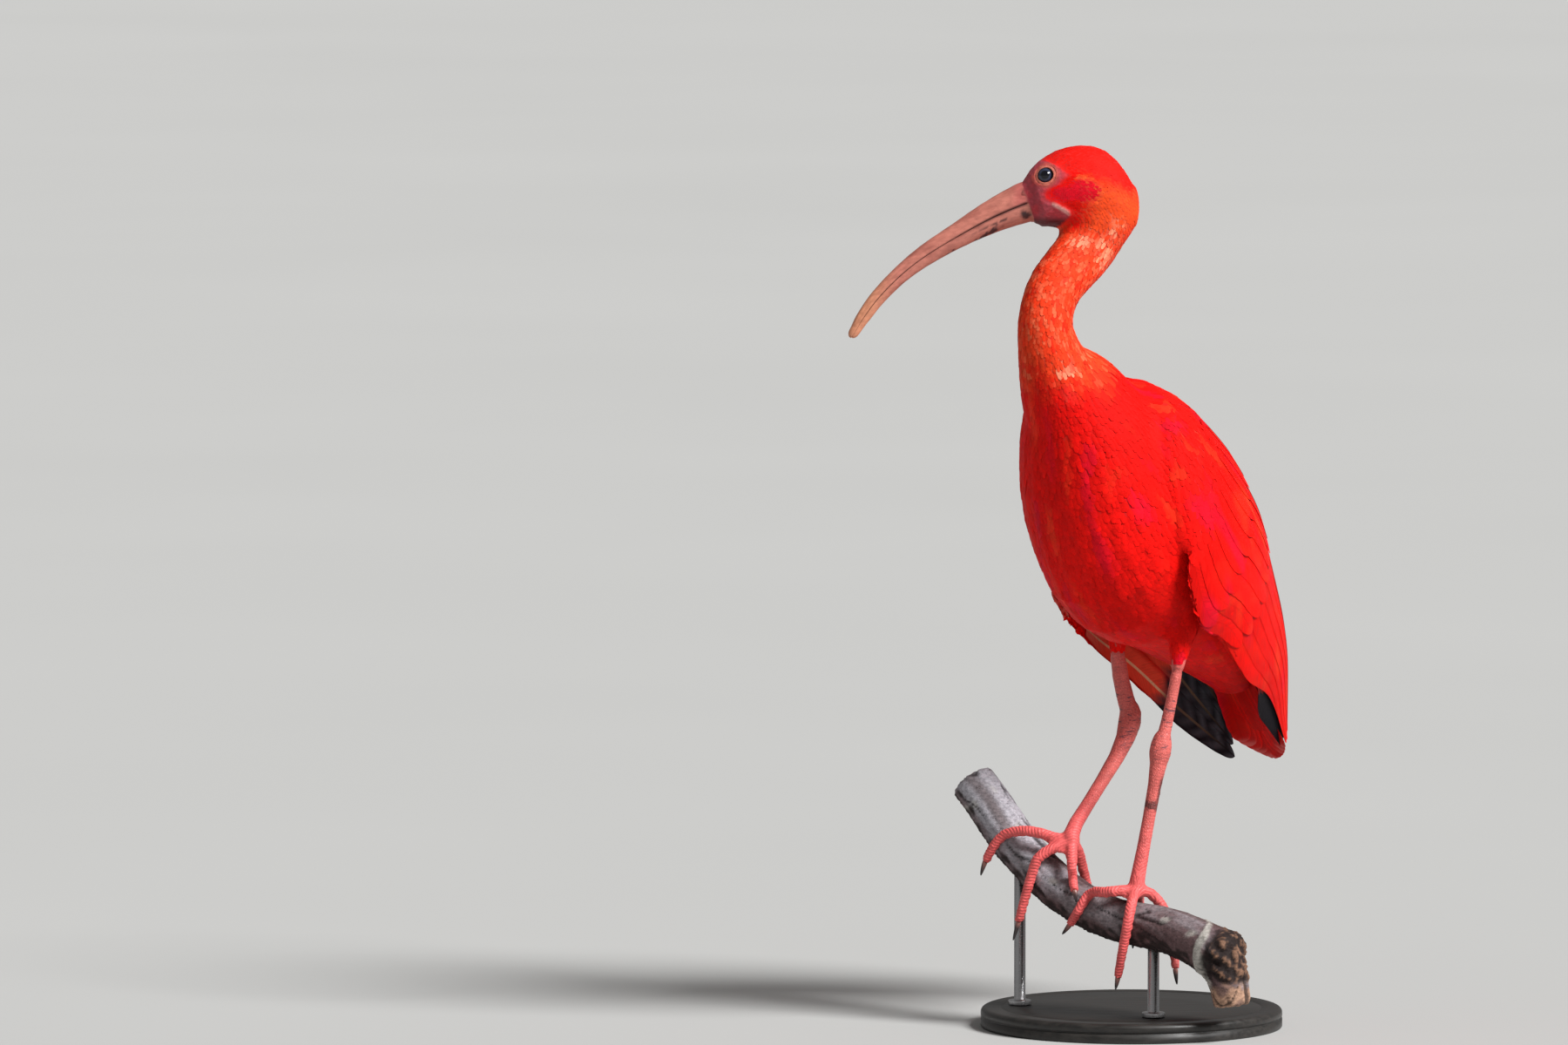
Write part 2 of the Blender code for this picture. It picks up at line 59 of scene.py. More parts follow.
# The driving places are the CAD's own, but the tail and the right wing end a little further on than their
# solids, where the photo shows the tips of their feathers.
HEADING = math.radians(50)
BODY_X = 8.0
HEAD_HEADING = math.radians(4)
HEAD_CENTRE = (-29.0, -45.0, 513.5)
EYE_AHEAD, EYE_ABOVE, EYE_SIDE, EYE_RADIUS = 25.5, 10.0, 8.6, 5.5
BILL = [  # ahead, above, and the radii up and across
    (33, -6.0, 12.5, 7.6),
    (39, -7.4, 12.0, 7.2),
    (57.5, -15.4, 9.9, 5.6),
    (76.5, -25.6, 7.7, 4.6),
    (96.5, -37.6, 6.4, 4.0),
    (112, -49.3, 5.3, 3.6),
    (126, -63.3, 4.7, 3.2),
    (135.5, -75.8, 4.1, 2.9),
    (140.5, -84.0, 3.2, 2.4),
]
WING_BACK = [(28, 402), (-6, 390), (-39, 366), (-66, 333), (-89, 294), (-108, 243), (-118, 178)]
WING_EDGES = {
    "left": [
        (41, 53, 350), (34, 57, 300), (16, 54, 252), (-12, 51, 240),
        (-42, 46, 215), (-78, 36, 199), (-116, 18, 165),
    ],
    "right": [
        (41, 53, 350), (35, 57, 300), (18, 54, 255), (-12, 51, 229),
        (-40, 45, 209), (-70, 33, 181), (-108, 18, 152),
    ],
}
WING_INNER = (1.2, 1.2, 1.2, 1.2, 2, 5, 12)  # from the body's middle to the wing's back
WING_TURNS = (98, 114, 123, 122, 114, 108, 104)  # degrees that the wing bends through, from back to edge
TAIL = [(-64, 243), (-80, 219), (-98, 193), (-113, 171), (-123.5, 154.5)]

# Lines that the coat follows, from the bill to the tail, in the body's own directions.
NECK_LINE = [
    (50, 4, 503), (53, 3, 489), (66, 1, 474), (88, 0, 457),
    (97, 0, 438), (94, 0, 420), (83, 0, 397), (66, 0, 372),
]
TRUNK_LINE = [
    (52, 0, 348), (30, 0, 318), (5, 0, 296), (-29, 0, 266), (-61, 0, 235), (-84, 0, 206), (-110, 0, 172),
]
HEAD_LINE = [(42, -8), (28, -1), (10, 3), (-6, 0), (-17, -10)]  # ahead, above
THIGH_LINES = {
    "left": [(-4, 20, 300), (-1, 29, 268), (4, 32.5, 249), (8, 33, 234), (11, 32.5, 214)],
    "right": [(-24, -20, 304), (-22, -29, 272), (-18, -32.5, 252), (-15, -33, 238), (-15, -33, 214)],
}

# Small webs between the front toes: the foot's pad, then a place on each toe.
WEBS = [
    ((1, -47, 87), (-13, -50, 87.5), (-1.5, -58, 80)),
    ((-38, -16, 114), (-55, -18.5, 107.5), (-57, -13, 120)),
    ((-38, -16, 114), (-37, -27.5, 103.5), (-51, -19, 109.5)),
]
WEB_THICK = 1.9

# The ridge that closes the gap between the folded wings: how far along their backs it runs, and its section,
# sideways and up from them.
MANTLE = (0.0, 0.34)
MANTLE_SECTION = [(-3.2, -1.4), (3.2, -1.4), (4.0, -9.0), (-4.0, -9.0)]
MANTLE_ROWS = 14

# The branch: x, z and radius along its axis, with y falling as x grows.
PERCH = [
    (-97, 147, 13), (-84, 130, 13.2), (-75, 117, 13.4), (-64, 104, 13.2), (-50, 90, 12.8), (-34, 79, 12.4),
    (-19, 72, 12.4), (-4, 68.5, 12.6), (15, 67, 13), (31, 63, 13.4), (44, 57.5, 14.5), (55, 52, 17),
]
PERCH_Y, PERCH_TURN = -45.4, 0.8

# Scales on the legs, from one to the next, and the heights of the hocks.
SCUTE, TOE_PAD, SHANK_SCUTE = 2.0, 5.2, 3.1
FAR_FROM_CLAWS = 399.0  # stands for any place that isn't on a leg; it falls between two scales
GONE_SCALE = 400.0  # the distance from the claws that the skin's Kind paint carries as 1
TOES_END = (0.11, 0.17)  # where on that scale the toes' cross bands give way to the shanks' scales
HOCKS, HOCK_REACH = (182.0, 197.0), 15.0

TUFT_PATCH = 0.003  # size on the baking map of what one feather takes

# Skin.
SKIN_KEPT = 0.19  # the share of its triangles that stays under the coat
VOXEL = 1.25
SEAM = 0.35  # how far each flesh solid is swollen, so that neighbours join
SOFTEN_STEPS, SOFTEN_ALL = 24, 8  # steps of smoothing, and how many of them reach the bare legs too
SOFTEN_IN, SOFTEN_OUT = 0.5, -0.52  # steps draw the skin in and let it out in turn, so it doesn't shrink
HOLLOWS_FROM = (255.0, 285.0)  # heights between which the filling of creases sets in
HOLLOW_BAND, HOLLOW_STEPS = 60, 400  # how wide round each join it reaches, and how often it is repeated
HOLLOW_LEAST = 0.01  # the weakest filling that is worked out
NAPE_FROM, NAPE_BIAS = 450.0, 0.020  # height of the nape, and how much of its saddle each step fills, in mm
SHOULDER_FROM = (275.0, 310.0)  # heights between which the wing's front edge starts to melt into the breast
COAT_DEPTH = {"head": 0.8, "neck": 1.3, "trunk": 2.0, "wing": 0.9, "thigh": 1.3, "leg": 0.0, "foot": 0.0}
FACE_DEPTH = 0.15  # how far the bare face is drawn in, where there is no coat
REGIONS = list(COAT_DEPTH)
BARE_FROM = 8.0  # how far ahead of the head's centre the skin keeps its triangles and is refined
EYE_RINGS = (9.0, 6.2)  # distances from an eye within which it is refined once more, and again


# Places


def body(u, v, z):
    """World places of points given in the body's own directions."""
    cos, sin = math.cos(HEADING), math.sin(HEADING)
    u, v, z = np.broadcast_arrays(np.asarray(u, float), v, z)
    return np.stack([BODY_X - cos * u + sin * v, -sin * u - cos * v, z], -1)


def head(ahead, above, side=0.0):
    """World places of points given from the head's centre; side is to the bird's left."""
    cos, sin = math.cos(HEAD_HEADING), math.sin(HEAD_HEADING)
    ahead, above, side = np.broadcast_arrays(np.asarray(ahead, float), above, side)
    x, y, z = HEAD_CENTRE
    return np.stack([x - cos * ahead + sin * side, y - sin * ahead - cos * side, z + above], -1)


def in_head(places):
    """Ahead, above and side of world places."""
    cos, sin = math.cos(HEAD_HEADING), math.sin(HEAD_HEADING)
    x, y, z = np.moveaxis(places - np.array(HEAD_CENTRE), -1, 0)
    return -cos * x - sin * y, z, sin * x - cos * y


def smooth(rows, t):
    """Rows on the smooth curve through rows, at each t from 0 to 1."""
    rows = np.asarray(rows, float)
    padded = np.vstack([2 * rows[0] - rows[1], rows, 2 * rows[-1] - rows[-2]])
    place = np.clip(t, 0, 1) * (len(rows) - 1)
    i = np.minimum(np.asarray(place, int), len(rows) - 2)
    f = np.asarray(place - i)[..., None]
    a, b, c, d = (padded[i + k] for k in range(4))
    return 0.5 * (2 * b + (c - a) * f + (2 * a - 5 * b + 4 * c - d) * f**2 + (3 * b - a - 3 * c + d) * f**3)


def unit(vectors):
    return vectors / np.maximum(np.linalg.norm(vectors, axis=-1, keepdims=True), 1e-9)


def ramp(value, low, high):
    """0 below low, 1 above high and smooth between them; low may be the greater."""
    t = np.clip((value - low) / (high - low), 0, 1)
    return t * t * (3 - 2 * t)


def mix(a, b, share):
    share = np.asarray(share)[..., None]
    return np.asarray(a) * (1 - share) + np.asarray(b) * share


def lumps(places, size, seed):
    """Smooth noise from about -1 to 1 at world places, with lumps about that size."""
    waves = np.random.default_rng(seed)
    total = 0.0
    for _ in range(9):
        way = unit(waves.normal(size=3)) * 2 * math.pi / (size * waves.uniform(1.3, 3.2))
        total = total + np.sin(places @ way + waves.uniform(0, 2 * math.pi))
    return total / 3.2


# Meshes


def new_mesh(name, points, faces):
    """A Blender mesh from places in mm and faces, all of them triangles or all quads."""
    mesh = bpy.data.meshes.new(name)
    faces = np.asarray(faces, np.int32)
    mesh.vertices.add(len(points))
    mesh.vertices.foreach_set("co", (np.asarray(points) * MM).astype(np.float32).ravel())
    mesh.loops.add(faces.size)
    mesh.loops.foreach_set("vertex_index", faces.ravel())
    mesh.polygons.add(len(faces))
    mesh.polygons.foreach_set("loop_start", np.arange(0, faces.size, faces.shape[1], dtype=np.int32))
    mesh.update(calc_edges=True)
    return mesh


def points_of(mesh):
    points = np.empty(len(mesh.vertices) * 3, np.float32)
    mesh.vertices.foreach_get("co", points)
    return points.reshape(-1, 3).astype(float) / MM


def faces_of(mesh, corners):
    faces = np.empty(len(mesh.polygons) * corners, np.int32)
    mesh.polygons.foreach_get("vertices", faces)
    return faces.reshape(-1, corners)


def add_map(mesh, name, corners):
    """A UV map with one place for each vertex, or one for each loop."""
    layer = mesh.uv_layers.new(name=name)
    if len(corners) == len(mesh.vertices) != len(mesh.loops):
        index = np.empty(len(mesh.loops), np.int32)
        mesh.loops.foreach_get("vertex_index", index)
        corners = corners[index]
    layer.data.foreach_set("uv", np.asarray(corners, np.float32).ravel())


def add_paint(mesh, name, colours):
    """A colour for each vertex; a fourth number may carry something else."""
    full = np.ones((len(colours), 4), np.float32)
    full[:, : colours.shape[1]] = colours
    layer = mesh.color_attributes.new(name=name, type="FLOAT_COLOR", domain="POINT")
    layer.data.foreach_set("color", full.ravel())


def add_object(name, data):
    made = bpy.data.objects.new(name, data)
    bpy.context.scene.collection.objects.link(made)
    return made


def add_piece(mesh, material, slot, replaced=()):
    """An object that rides on the one body and stands for those CAD nodes."""
    mesh.shade_smooth()
    mesh.materials.append(material)
    piece = add_object(mesh.name, mesh)
    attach(piece, "root")
    if replaced:
        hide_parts(*replaced)
    return piece


def cad_mesh(name, swell=0.0):
    """Places and triangles of a CAD node, with its split corners joined and swollen by that much."""
    bm = bmesh.new()
    bm.from_mesh(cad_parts[name].data)
    bmesh.ops.remove_doubles(bm, verts=bm.verts, dist=1e-6)
    bmesh.ops.triangulate(bm, faces=bm.faces)
    bm.normal_update()
    points = np.array([vert.co + vert.normal * (swell * MM) for vert in bm.verts]) / MM
    faces = np.array([[vert.index for vert in face.verts] for face in bm.faces])
    bm.free()
    return points, faces


def join(parts):
    """One set of places and faces from several."""
    points, faces, start = [], [], 0
    for some_points, some_faces in parts:
        points.append(some_points)
        faces.append(np.asarray(some_faces) + start)
        start += len(some_points)
    return np.concatenate(points), np.concatenate(faces)


def changed_by(kind, points, faces, corners, group=(), **settings):
    """Places and faces after one of Blender's modifiers, which may work on a group of vertices only."""
    mesh = new_mesh("changed", points, faces)
    holder = add_object("changed", mesh)
    modifier = holder.modifiers.new("change", kind)
    for key, value in settings.items():
        setattr(modifier, key, value)
    if group:
        chosen = holder.vertex_groups.new(name="chosen")
        chosen.add(group, 1.0, "REPLACE")
        modifier.vertex_group = chosen.name
    evaluated = holder.evaluated_get(bpy.context.evaluated_depsgraph_get())
    made = evaluated.to_mesh()
    result = points_of(made), faces_of(made, corners)
    evaluated.to_mesh_clear()
    bpy.data.objects.remove(holder)
    bpy.data.meshes.remove(mesh)
    return result


def remeshed(points, faces, size):
    """The outer surface of overlapping solids, as even quads."""
    return changed_by("REMESH", points, faces, 4, mode="VOXEL", voxel_size=size * MM)


def edges_of(faces):
    ends = np.concatenate([faces[:, [k, (k + 1) % faces.shape[1]]] for k in range(faces.shape[1])])
    return np.unique(np.sort(ends, axis=1), axis=0)


def averaged(values, edges):
    """Each vertex's value replaced by the mean of its neighbours' values."""
    count = len(values)
    flat = values.reshape(count, -1)
    a, b = edges.T
    number = np.maximum(np.bincount(a, minlength=count) + np.bincount(b, minlength=count), 1)
    total = [np.bincount(a, row[b], minlength=count) for row in flat.T]
    total = [one + np.bincount(b, row[a], minlength=count) for one, row in zip(total, flat.T)]
    return (np.stack(total, -1) / number[:, None]).reshape(values.shape)


def normals_of(points, faces):
    """Vertex normals, weighted by area."""
    corners = points[faces]
    across = np.cross(corners[:, 2] - corners[:, 0], corners[:, -1] - corners[:, 1])
    index, each = faces.ravel(), faces.shape[1]
    total = [np.bincount(index, np.repeat(row, each), minlength=len(points)) for row in across.T]
    return unit(np.stack(total, -1))


# Skin


def region_of(node):
    for region, starts in {
        "head": ("head", "eye"),
        "neck": ("neck",),
        "trunk": ("breast", "rump"),
        "wing": ("wing",),
        "thigh": ("thigh",),
        "leg": ("shank", "foot"),
        "foot": ("toe",),
    }.items():
        if node.startswith(starts):
            return region
    return None


def web_solid(pad, first, second):
    """A thin web with a hollowed free edge between two toes."""
    pad, first, second = (np.array(place, float) for place in (pad, first, second))
    middle = (first + second) / 2 * 0.72 + pad * 0.28
    normal = unit(np.cross(first - pad, second - pad)) * WEB_THICK / 2
    outline = np.array([pad, first, middle, second])
    points = np.concatenate([outline + normal, outline - normal])
    faces = [(0, 1, 2), (0, 2, 3), (6, 5, 4), (7, 6, 4)]
    for i in range(4):
        j = (i + 1) % 4
        faces += [(j, i, i + 4), (j, i + 4, j + 4)]
    return points, np.array(faces)


def mantle_solid():
    """A ridge that closes the gap between the folded wings at the top of the back."""
    u, z = smooth(WING_BACK, np.linspace(*MANTLE, MANTLE_ROWS)).T
    v, drop = np.array(MANTLE_SECTION).T
    points = body(u[:, None], v, z[:, None] + drop).reshape(-1, 3)
    faces, _, _ = tube(MANTLE_ROWS, len(MANTLE_SECTION))
    return points, faces


class Skin:
    """The skin's places, faces and what each vertex knows about itself."""


def lone_surface(points, faces):
    """The largest connected piece of a surface, without the closed hollows inside."""
    a, b = edges_of(faces).T
    label = np.arange(len(points))
    changed = True
    while changed:
        low = np.minimum(label[a], label[b])
        spread = label.copy()
        np.minimum.at(spread, a, low)
        np.minimum.at(spread, b, low)
        spread = spread[spread]
        changed = bool((spread != label).any())
        label = spread
    used = label == np.bincount(label).argmax()
    index = np.cumsum(used) - 1
    return points[used], index[faces[used[faces[:, 0]]]]


def classify(skin):
    """The CAD node and the region that each vertex of the skin belongs to."""
    nearest = np.array([skin.solid.find_nearest(place)[2] for place in skin.points.tolist()])
    skin.node = np.searchsorted(skin.bounds, nearest, side="right")
    skin.region = np.array([REGIONS.index(region_of(name)) for name in skin.flesh])[skin.node]
    skin.edges = edges_of(skin.faces)


def in_region(skin, *names):
    return np.isin(skin.region, [REGIONS.index(name) for name in names])


def on_nodes(skin, *names):
    return np.isin(skin.flesh, names)[skin.node]


def soften(skin):
    """Smooths the joins between the solids without shrinking them, and the feathered parts more."""
    feathered = (~in_region(skin, "leg", "foot")).astype(float)
    softness = averaged(averaged(feathered, skin.edges), skin.edges)[:, None]
    for step in range(SOFTEN_STEPS):
        strength = SOFTEN_IN if step % 2 == 0 else SOFTEN_OUT
        share = softness if step >= SOFTEN_ALL else 1.0
        skin.points = skin.points + (averaged(skin.points, skin.edges) - skin.points) * strength * share


def fill_hollows(skin):
    """Fills the creases where the neck meets the head and the wings meet the breast and back."""
    parts = [in_region(skin, "head"), in_region(skin, "neck")]
    parts += [on_nodes(skin, f"wing_{side}") for side in WING_EDGES]
    ahead, _, _ = in_head(skin.points)
    nape = ramp(ahead, 4, -6) * (skin.points[:, 2] > NAPE_FROM)
    shoulder = ramp(skin.points[:, 2], *SHOULDER_FROM)
    near, bias, both = (np.zeros(len(skin.points)) for _ in range(3))
    for part, extra, ridge in zip(parts, (NAPE_BIAS * nape, 0, 0, 0), (0, 0, shoulder, shoulder)):
        share = part.astype(float)
        for _ in range(HOLLOW_BAND):
            share = averaged(share, skin.edges)
        seam = np.clip(6 * share * (1 - share), 0, 1)
        near = np.maximum(near, seam)
        bias = np.maximum(bias, extra * seam**2)
        both = np.maximum(both, ridge * seam)
    near = near * ramp(skin.points[:, 2], *HOLLOWS_FROM)
    edges = skin.edges[(near[skin.edges] > HOLLOW_LEAST).any(1)]
    used = np.unique(edges)
    local = np.searchsorted(used, edges)
    near, bias, both = (near * (near > HOLLOW_LEAST))[used], bias[used], both[used]
    for step in range(HOLLOW_STEPS):
        if step % 10 == 0:
            normals = normals_of(skin.points, skin.faces)[used]
        points = skin.points[used]
        move = averaged(points, local) - points
        outward = (move * normals).sum(1)
        slide = (move - normals * outward[:, None]) * (0.5 * both)[:, None]
        rise = 0.7 * np.maximum(outward + bias, outward * both) * near
        skin.points[used] = points + normals * rise[:, None] + slide


def sink(skin):
    """Draws the skin in by the coat's depth."""
    ahead, above, _ = in_head(skin.points)
    depth = np.array([COAT_DEPTH[name] for name in REGIONS])[skin.region]
    depth = np.where(bare_face(ahead, above) & in_region(skin, "head"), FACE_DEPTH, depth)
    for _ in range(6):
        depth = averaged(depth, skin.edges)
    skin.points = skin.points - normals_of(skin.points, skin.faces) * depth[:, None]


def thin(skin):
    """Fewer triangles under the coat, where nothing shows, and all of them on bare parts."""
    ahead, _, _ = in_head(skin.points)
    bare = in_region(skin, "leg", "foot") | (in_region(skin, "head") & (ahead > BARE_FROM))
    covered = np.flatnonzero(~bare).tolist()
    settings = {"ratio": SKIN_KEPT, "use_collapse_triangulate": True}
    skin.points, skin.faces = changed_by("DECIMATE", skin.points, skin.faces, 3, covered, **settings)


def refine(skin, chosen):
    """Splits the chosen triangles in four, to hold finer shapes."""
    bm = bmesh.new()
    mesh = new_mesh("fine", skin.points, skin.faces)
    bm.from_mesh(mesh)
    wanted = [face for face in bm.faces if chosen[face.index]]
    edges = list({edge for face in wanted for edge in face.edges})
    bmesh.ops.subdivide_edges(bm, edges=edges, cuts=1, use_grid_fill=True)
    bmesh.ops.triangulate(bm, faces=bm.faces)
    bm.to_mesh(mesh)
    bm.free()
    skin.points, skin.faces = points_of(mesh), faces_of(mesh, 3)
    bpy.data.meshes.remove(mesh)


def build_skin_shape():
    """One closed surface round all the flesh, inside it by the coat's depth."""
    skin = Skin()
    nodes = sorted(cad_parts)
    skin.flesh = [name for name in nodes if region_of(name) and not name.startswith("wing_tip")]
    skin.flesh_only = [name for name in skin.flesh if not name.startswith("eye")]
    parts = [cad_mesh(name, SEAM) for name in skin.flesh]
    skin.bounds = np.cumsum([len(faces) for _, faces in parts])
    solid_points, solid_faces = join(parts)
    skin.solid = BVHTree.FromPolygons(solid_points.tolist(), solid_faces.tolist())
    webbed = join(parts + [web_solid(*web) for web in WEBS] + [mantle_solid()])
    skin.points, skin.faces = lone_surface(*remeshed(*webbed, VOXEL))
    classify(skin)
    soften(skin)
    fill_hollows(skin)
    sink(skin)
    skin.normals = normals_of(skin.points, skin.faces)
    skin.tree = BVHTree.FromPolygons(skin.points.tolist(), skin.faces.tolist())
    return skin


def detail_skin(even):
    """The skin as it is shown: fewer triangles under the coat, and fine shapes on the bare face and legs."""
    skin = copy.copy(even)
    thin(skin)
    classify(skin)
    ahead, above, _ = in_head(skin.points[skin.faces].mean(1))
    toes, on_head = (in_region(skin, name)[skin.faces].any(1) for name in ("foot", "head"))
    refine(skin, toes | ((ahead > BARE_FROM) & (np.abs(above) < 24) & on_head))
    for reach in EYE_RINGS:
        centres = skin.points[skin.faces].mean(1)
        near_eye = [np.linalg.norm(centres - eye_frame(way)[0], axis=1) < reach for way in (-1, 1)]
        refine(skin, near_eye[0] | near_eye[1])
    classify(skin)
    ahead, _, _ = in_head(skin.points)
    fine = ((in_region(skin, "head") & (ahead > 6)) | in_region(skin, "foot"))[:, None]
    for _ in range(6):
        skin.points = np.where(fine, 0.5 * skin.points + 0.5 * averaged(skin.points, skin.edges), skin.points)
    shape_face(skin)
    shape_legs(skin)
    return skin


# The face

# The line where the face's bare skin ends: above and ahead of the head's centre.
FACE_LINE = [
    (-26, 24), (-20, 17), (-14, 11.5), (-11, 12.5), (-8, 17), (-6, 21), (-3.5, 26), (0, 27),
    (2.5, 24.5), (5, 18.5), (8, 16.5), (11, 12.8), (13, 15.5), (16, 19), (18.5, 24), (20, 30),
]
# The eyelids' section: distance from the eye's axis and how far the skin stands off its smooth form.
LIDS = [
    (4.5, -0.6), (4.8, 0.05), (5.1, 0.34), (5.5, 0.22), (6.1, -0.1), (6.9, 0.16), (7.7, 0.05), (8.5, 0),
]
LID_OPENING = 4.45
STRIPE = [(20.7, -6.6), (16.5, -9.0), (11.9, -12.0)]  # the pale fold behind the corner of the mouth
STRIPE_WIDTH = 2.0
LORES = (34.5, 1.5)
BILL_BASE = (37.3, 39.0)  # how far ahead, level with the head's centre, the face's skin turns to horn
BILL_SLANT = 0.34  # how much further ahead the face reaches for each step upwards
BILL_FIT = [(30, 1.36), (33, 1.22), (35.5, 1.11), (37.4, 1.04), (38.7, 1.0), (39.6, 0.93), (41.5, 0.78)]
BILL_FIT_FROM = (30.0, 37.0)  # that table's rows are how far ahead, and parts of the bill's own width there


def past_face_line(ahead, above):
    levels, edge = np.array(FACE_LINE, float).T
    return ahead - np.interp(above, levels, edge)


def bare_face(ahead, above):
    return past_face_line(ahead, above) > 0


def eye_frame(way):
    """An eye's centre, the way it looks, and the ways ahead and above across it; way is 1 on the left."""
    origin = head(0, 0)
    out = unit(head(0.22, 0.2, way) - origin)
    fore = head(1, -0.15) - origin
    fore = unit(fore - out * (fore @ out))
    up = np.cross(out, fore)
    return head(EYE_AHEAD, EYE_ABOVE, way * EYE_SIDE), out, fore, up * np.sign(up[2])


def eye_place(points, way):
    """Distance from the eye's axis, the angle round it and the height along it, for places near that eye."""
    centre, out, fore, up = eye_frame(way)
    gap = points - centre
    across, rise = gap @ fore, gap @ up
    return np.hypot(across * 0.96, rise * 1.04), np.arctan2(rise, across), gap @ out


def to_stripe(ahead, above):
    """Distance from the pale stripe's line, and how far along it the nearest place is."""
    line = smooth(STRIPE, np.linspace(0, 1, 30))
    gaps = np.hypot(ahead[:, None] - line[:, 0], above[:, None] - line[:, 1])
    return gaps.min(1), gaps.argmin(1) / 29


def fit_bill(skin):
    """Draws the face's skin down onto the bill's root, and inside it further ahead."""
    ahead, above, side = in_head(skin.points)
    table = smooth(BILL, np.linspace(0, 1, 120))
    level, deep, wide = (np.interp(ahead, table[:, 0], table[:, i]) for i in (1, 2, 3))
    reach = np.hypot((above - level) / (deep * 1.04), side / wide)
    slanted = ahead - BILL_SLANT * above
    wanted = np.interp(slanted, *np.array(BILL_FIT).T)
    scale = np.where(slanted > BILL_FIT[0][0], np.minimum(1, wanted / np.maximum(reach, 0.01)), 1)
    share = ramp(slanted, *BILL_FIT_FROM) * in_region(skin, "head")
    scale = 1 + (scale - 1) * share
    skin.points = head(ahead, level + (above - level) * scale, side * scale)


def shape_face(skin):
    """Eyelids with fine folds, the sunken lores and the fold behind the mouth."""
    fit_bill(skin)
    ahead, above, _ = in_head(skin.points)
    on_head = in_region(skin, "head")
    normals = normals_of(skin.points, skin.faces)
    gap, _ = to_stripe(ahead, above)
    lores = np.exp(-(((ahead - LORES[0]) / 4) ** 2) - ((above - LORES[1]) / 3.5) ** 2)
    rise = 0.55 * np.exp(-((gap / STRIPE_WIDTH) ** 2)) - 0.6 * lores
    rise = rise + 0.09 * lumps(skin.points, 1.6, 21) * bare_face(ahead, above)
    rise = rise - 0.7 * np.exp(-(((above - mouth_level(ahead)) / 0.7) ** 2)) * ramp(ahead, 35.5, 37.5)
    skin.points = skin.points + normals * (rise * on_head)[:, None]
    for way in (-1, 1):
        _, out, _, _ = eye_frame(way)
        reach, _, height = eye_place(skin.points, way)
        lids, offsets = np.array(LIDS).T
        ball = np.sqrt(np.maximum(EYE_RADIUS**2 - reach**2, 0))
        folds = 0.07 * np.sin(reach * 2 * math.pi / 0.95) * ramp(reach, 5.2, 5.8) * ramp(reach, 8.4, 7.4)
        lid = height + np.interp(reach, lids, offsets) + folds
        lid = np.where(reach < 5.3, np.maximum(lid, ball + 0.12), lid)
        socket = ball - 0.8
        wanted = mix(socket[:, None], lid[:, None], ramp(reach, LID_OPENING, LIDS[1][0]))[:, 0]
        close = on_head & (reach < LIDS[-1][0]) & (height > 0)
        skin.points = skin.points + out * np.where(close, wanted - height, 0)[:, None]


# The legs


def perch_places(count):
    """Places along the branch's axis and its radius there."""
    x, z, radius = smooth(PERCH, np.linspace(0, 1, count)).T
    return np.stack([x, PERCH_Y - PERCH_TURN * x, z], -1), radius


def claw_distance(skin):
    """Distance over the skin from the nearest claw, up the toes and the legs."""
    claws = join([cad_mesh(name) for name in sorted(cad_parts) if name.startswith("claw_")])
    tree = BVHTree.FromPolygons(claws[0].tolist(), claws[1].tolist())
    bare = in_region(skin, "leg", "foot")
    links = {int(i): [] for i in np.flatnonzero(bare)}
    inside = skin.edges[bare[skin.edges].all(1)]
    lengths = np.linalg.norm(skin.points[inside[:, 0]] - skin.points[inside[:, 1]], axis=1)
    for (a, b), length in zip(inside.tolist(), lengths.tolist()):
        links[a].append((b, length))
        links[b].append((a, length))
    gone = np.full(len(skin.points), 999.0)
    queue = []
    for i in links:
        reach = tree.find_nearest(skin.points[i].tolist())[3]
        if reach < 1.2:
            gone[i] = reach
            queue.append((reach, i))
    heapq.heapify(queue)
    while queue:
        distance, i = heapq.heappop(queue)
        if distance > gone[i]:
            continue
        for other, length in links[i]:
            if distance + length < gone[other]:
                gone[other] = distance + length
                heapq.heappush(queue, (gone[other], other))
    return np.minimum(gone, FAR_FROM_CLAWS)


def shape_legs(skin):
    """Scales across the toes and the shanks, and pads under the toes."""
    skin.gone = claw_distance(skin)
    normals = normals_of(skin.points, skin.faces)
    places, _ = perch_places(80)
    outward = unit(skin.points - places[nearest_index(skin.points, places)])
    skin.dorsal = (normals * outward).sum(1)
    foot, leg = in_region(skin, "foot"), in_region(skin, "leg")
    scutes = 0.22 * np.abs(np.sin(skin.gone * math.pi / SCUTE)) * ramp(skin.dorsal, 0.1, 0.6) * foot
    pads = 0.45 * np.abs(np.sin(skin.gone * math.pi / TOE_PAD)) * ramp(skin.dorsal, 0.1, -0.5) * foot
    front = ramp(-normals[:, 1], 0.1, 0.7)
    plates = 0.12 * np.abs(np.sin(skin.points[:, 2] * math.pi / SHANK_SCUTE)) * front * leg
    skin.points = skin.points + normals * (scutes + pads + plates)[:, None]


# The lie of the coat


def wing_place(t, q, side):
    """World places on a wing's outer face: t runs from shoulder to tip, q from back to lower edge."""
    t, q = np.broadcast_arrays(np.asarray(t, float), q)
    back, edge = smooth(WING_BACK, t), smooth(WING_EDGES[side], t)
    inner = smooth([(v,) for v in WING_INNER], t)[..., 0]
    turn = np.radians(smooth([(degrees,) for degrees in WING_TURNS], t)[..., 0])
    share = (1 - np.cos(q * turn)) / (1 - np.cos(turn))
    v = inner + (edge[..., 1] - inner) / np.sin(turn) * np.sin(q * turn)
    u = back[..., 0] + (edge[..., 0] - back[..., 0]) * share
    z = back[..., 1] + (edge[..., 2] - back[..., 1]) * share
    return body(u, v if side == "left" else -v, z)


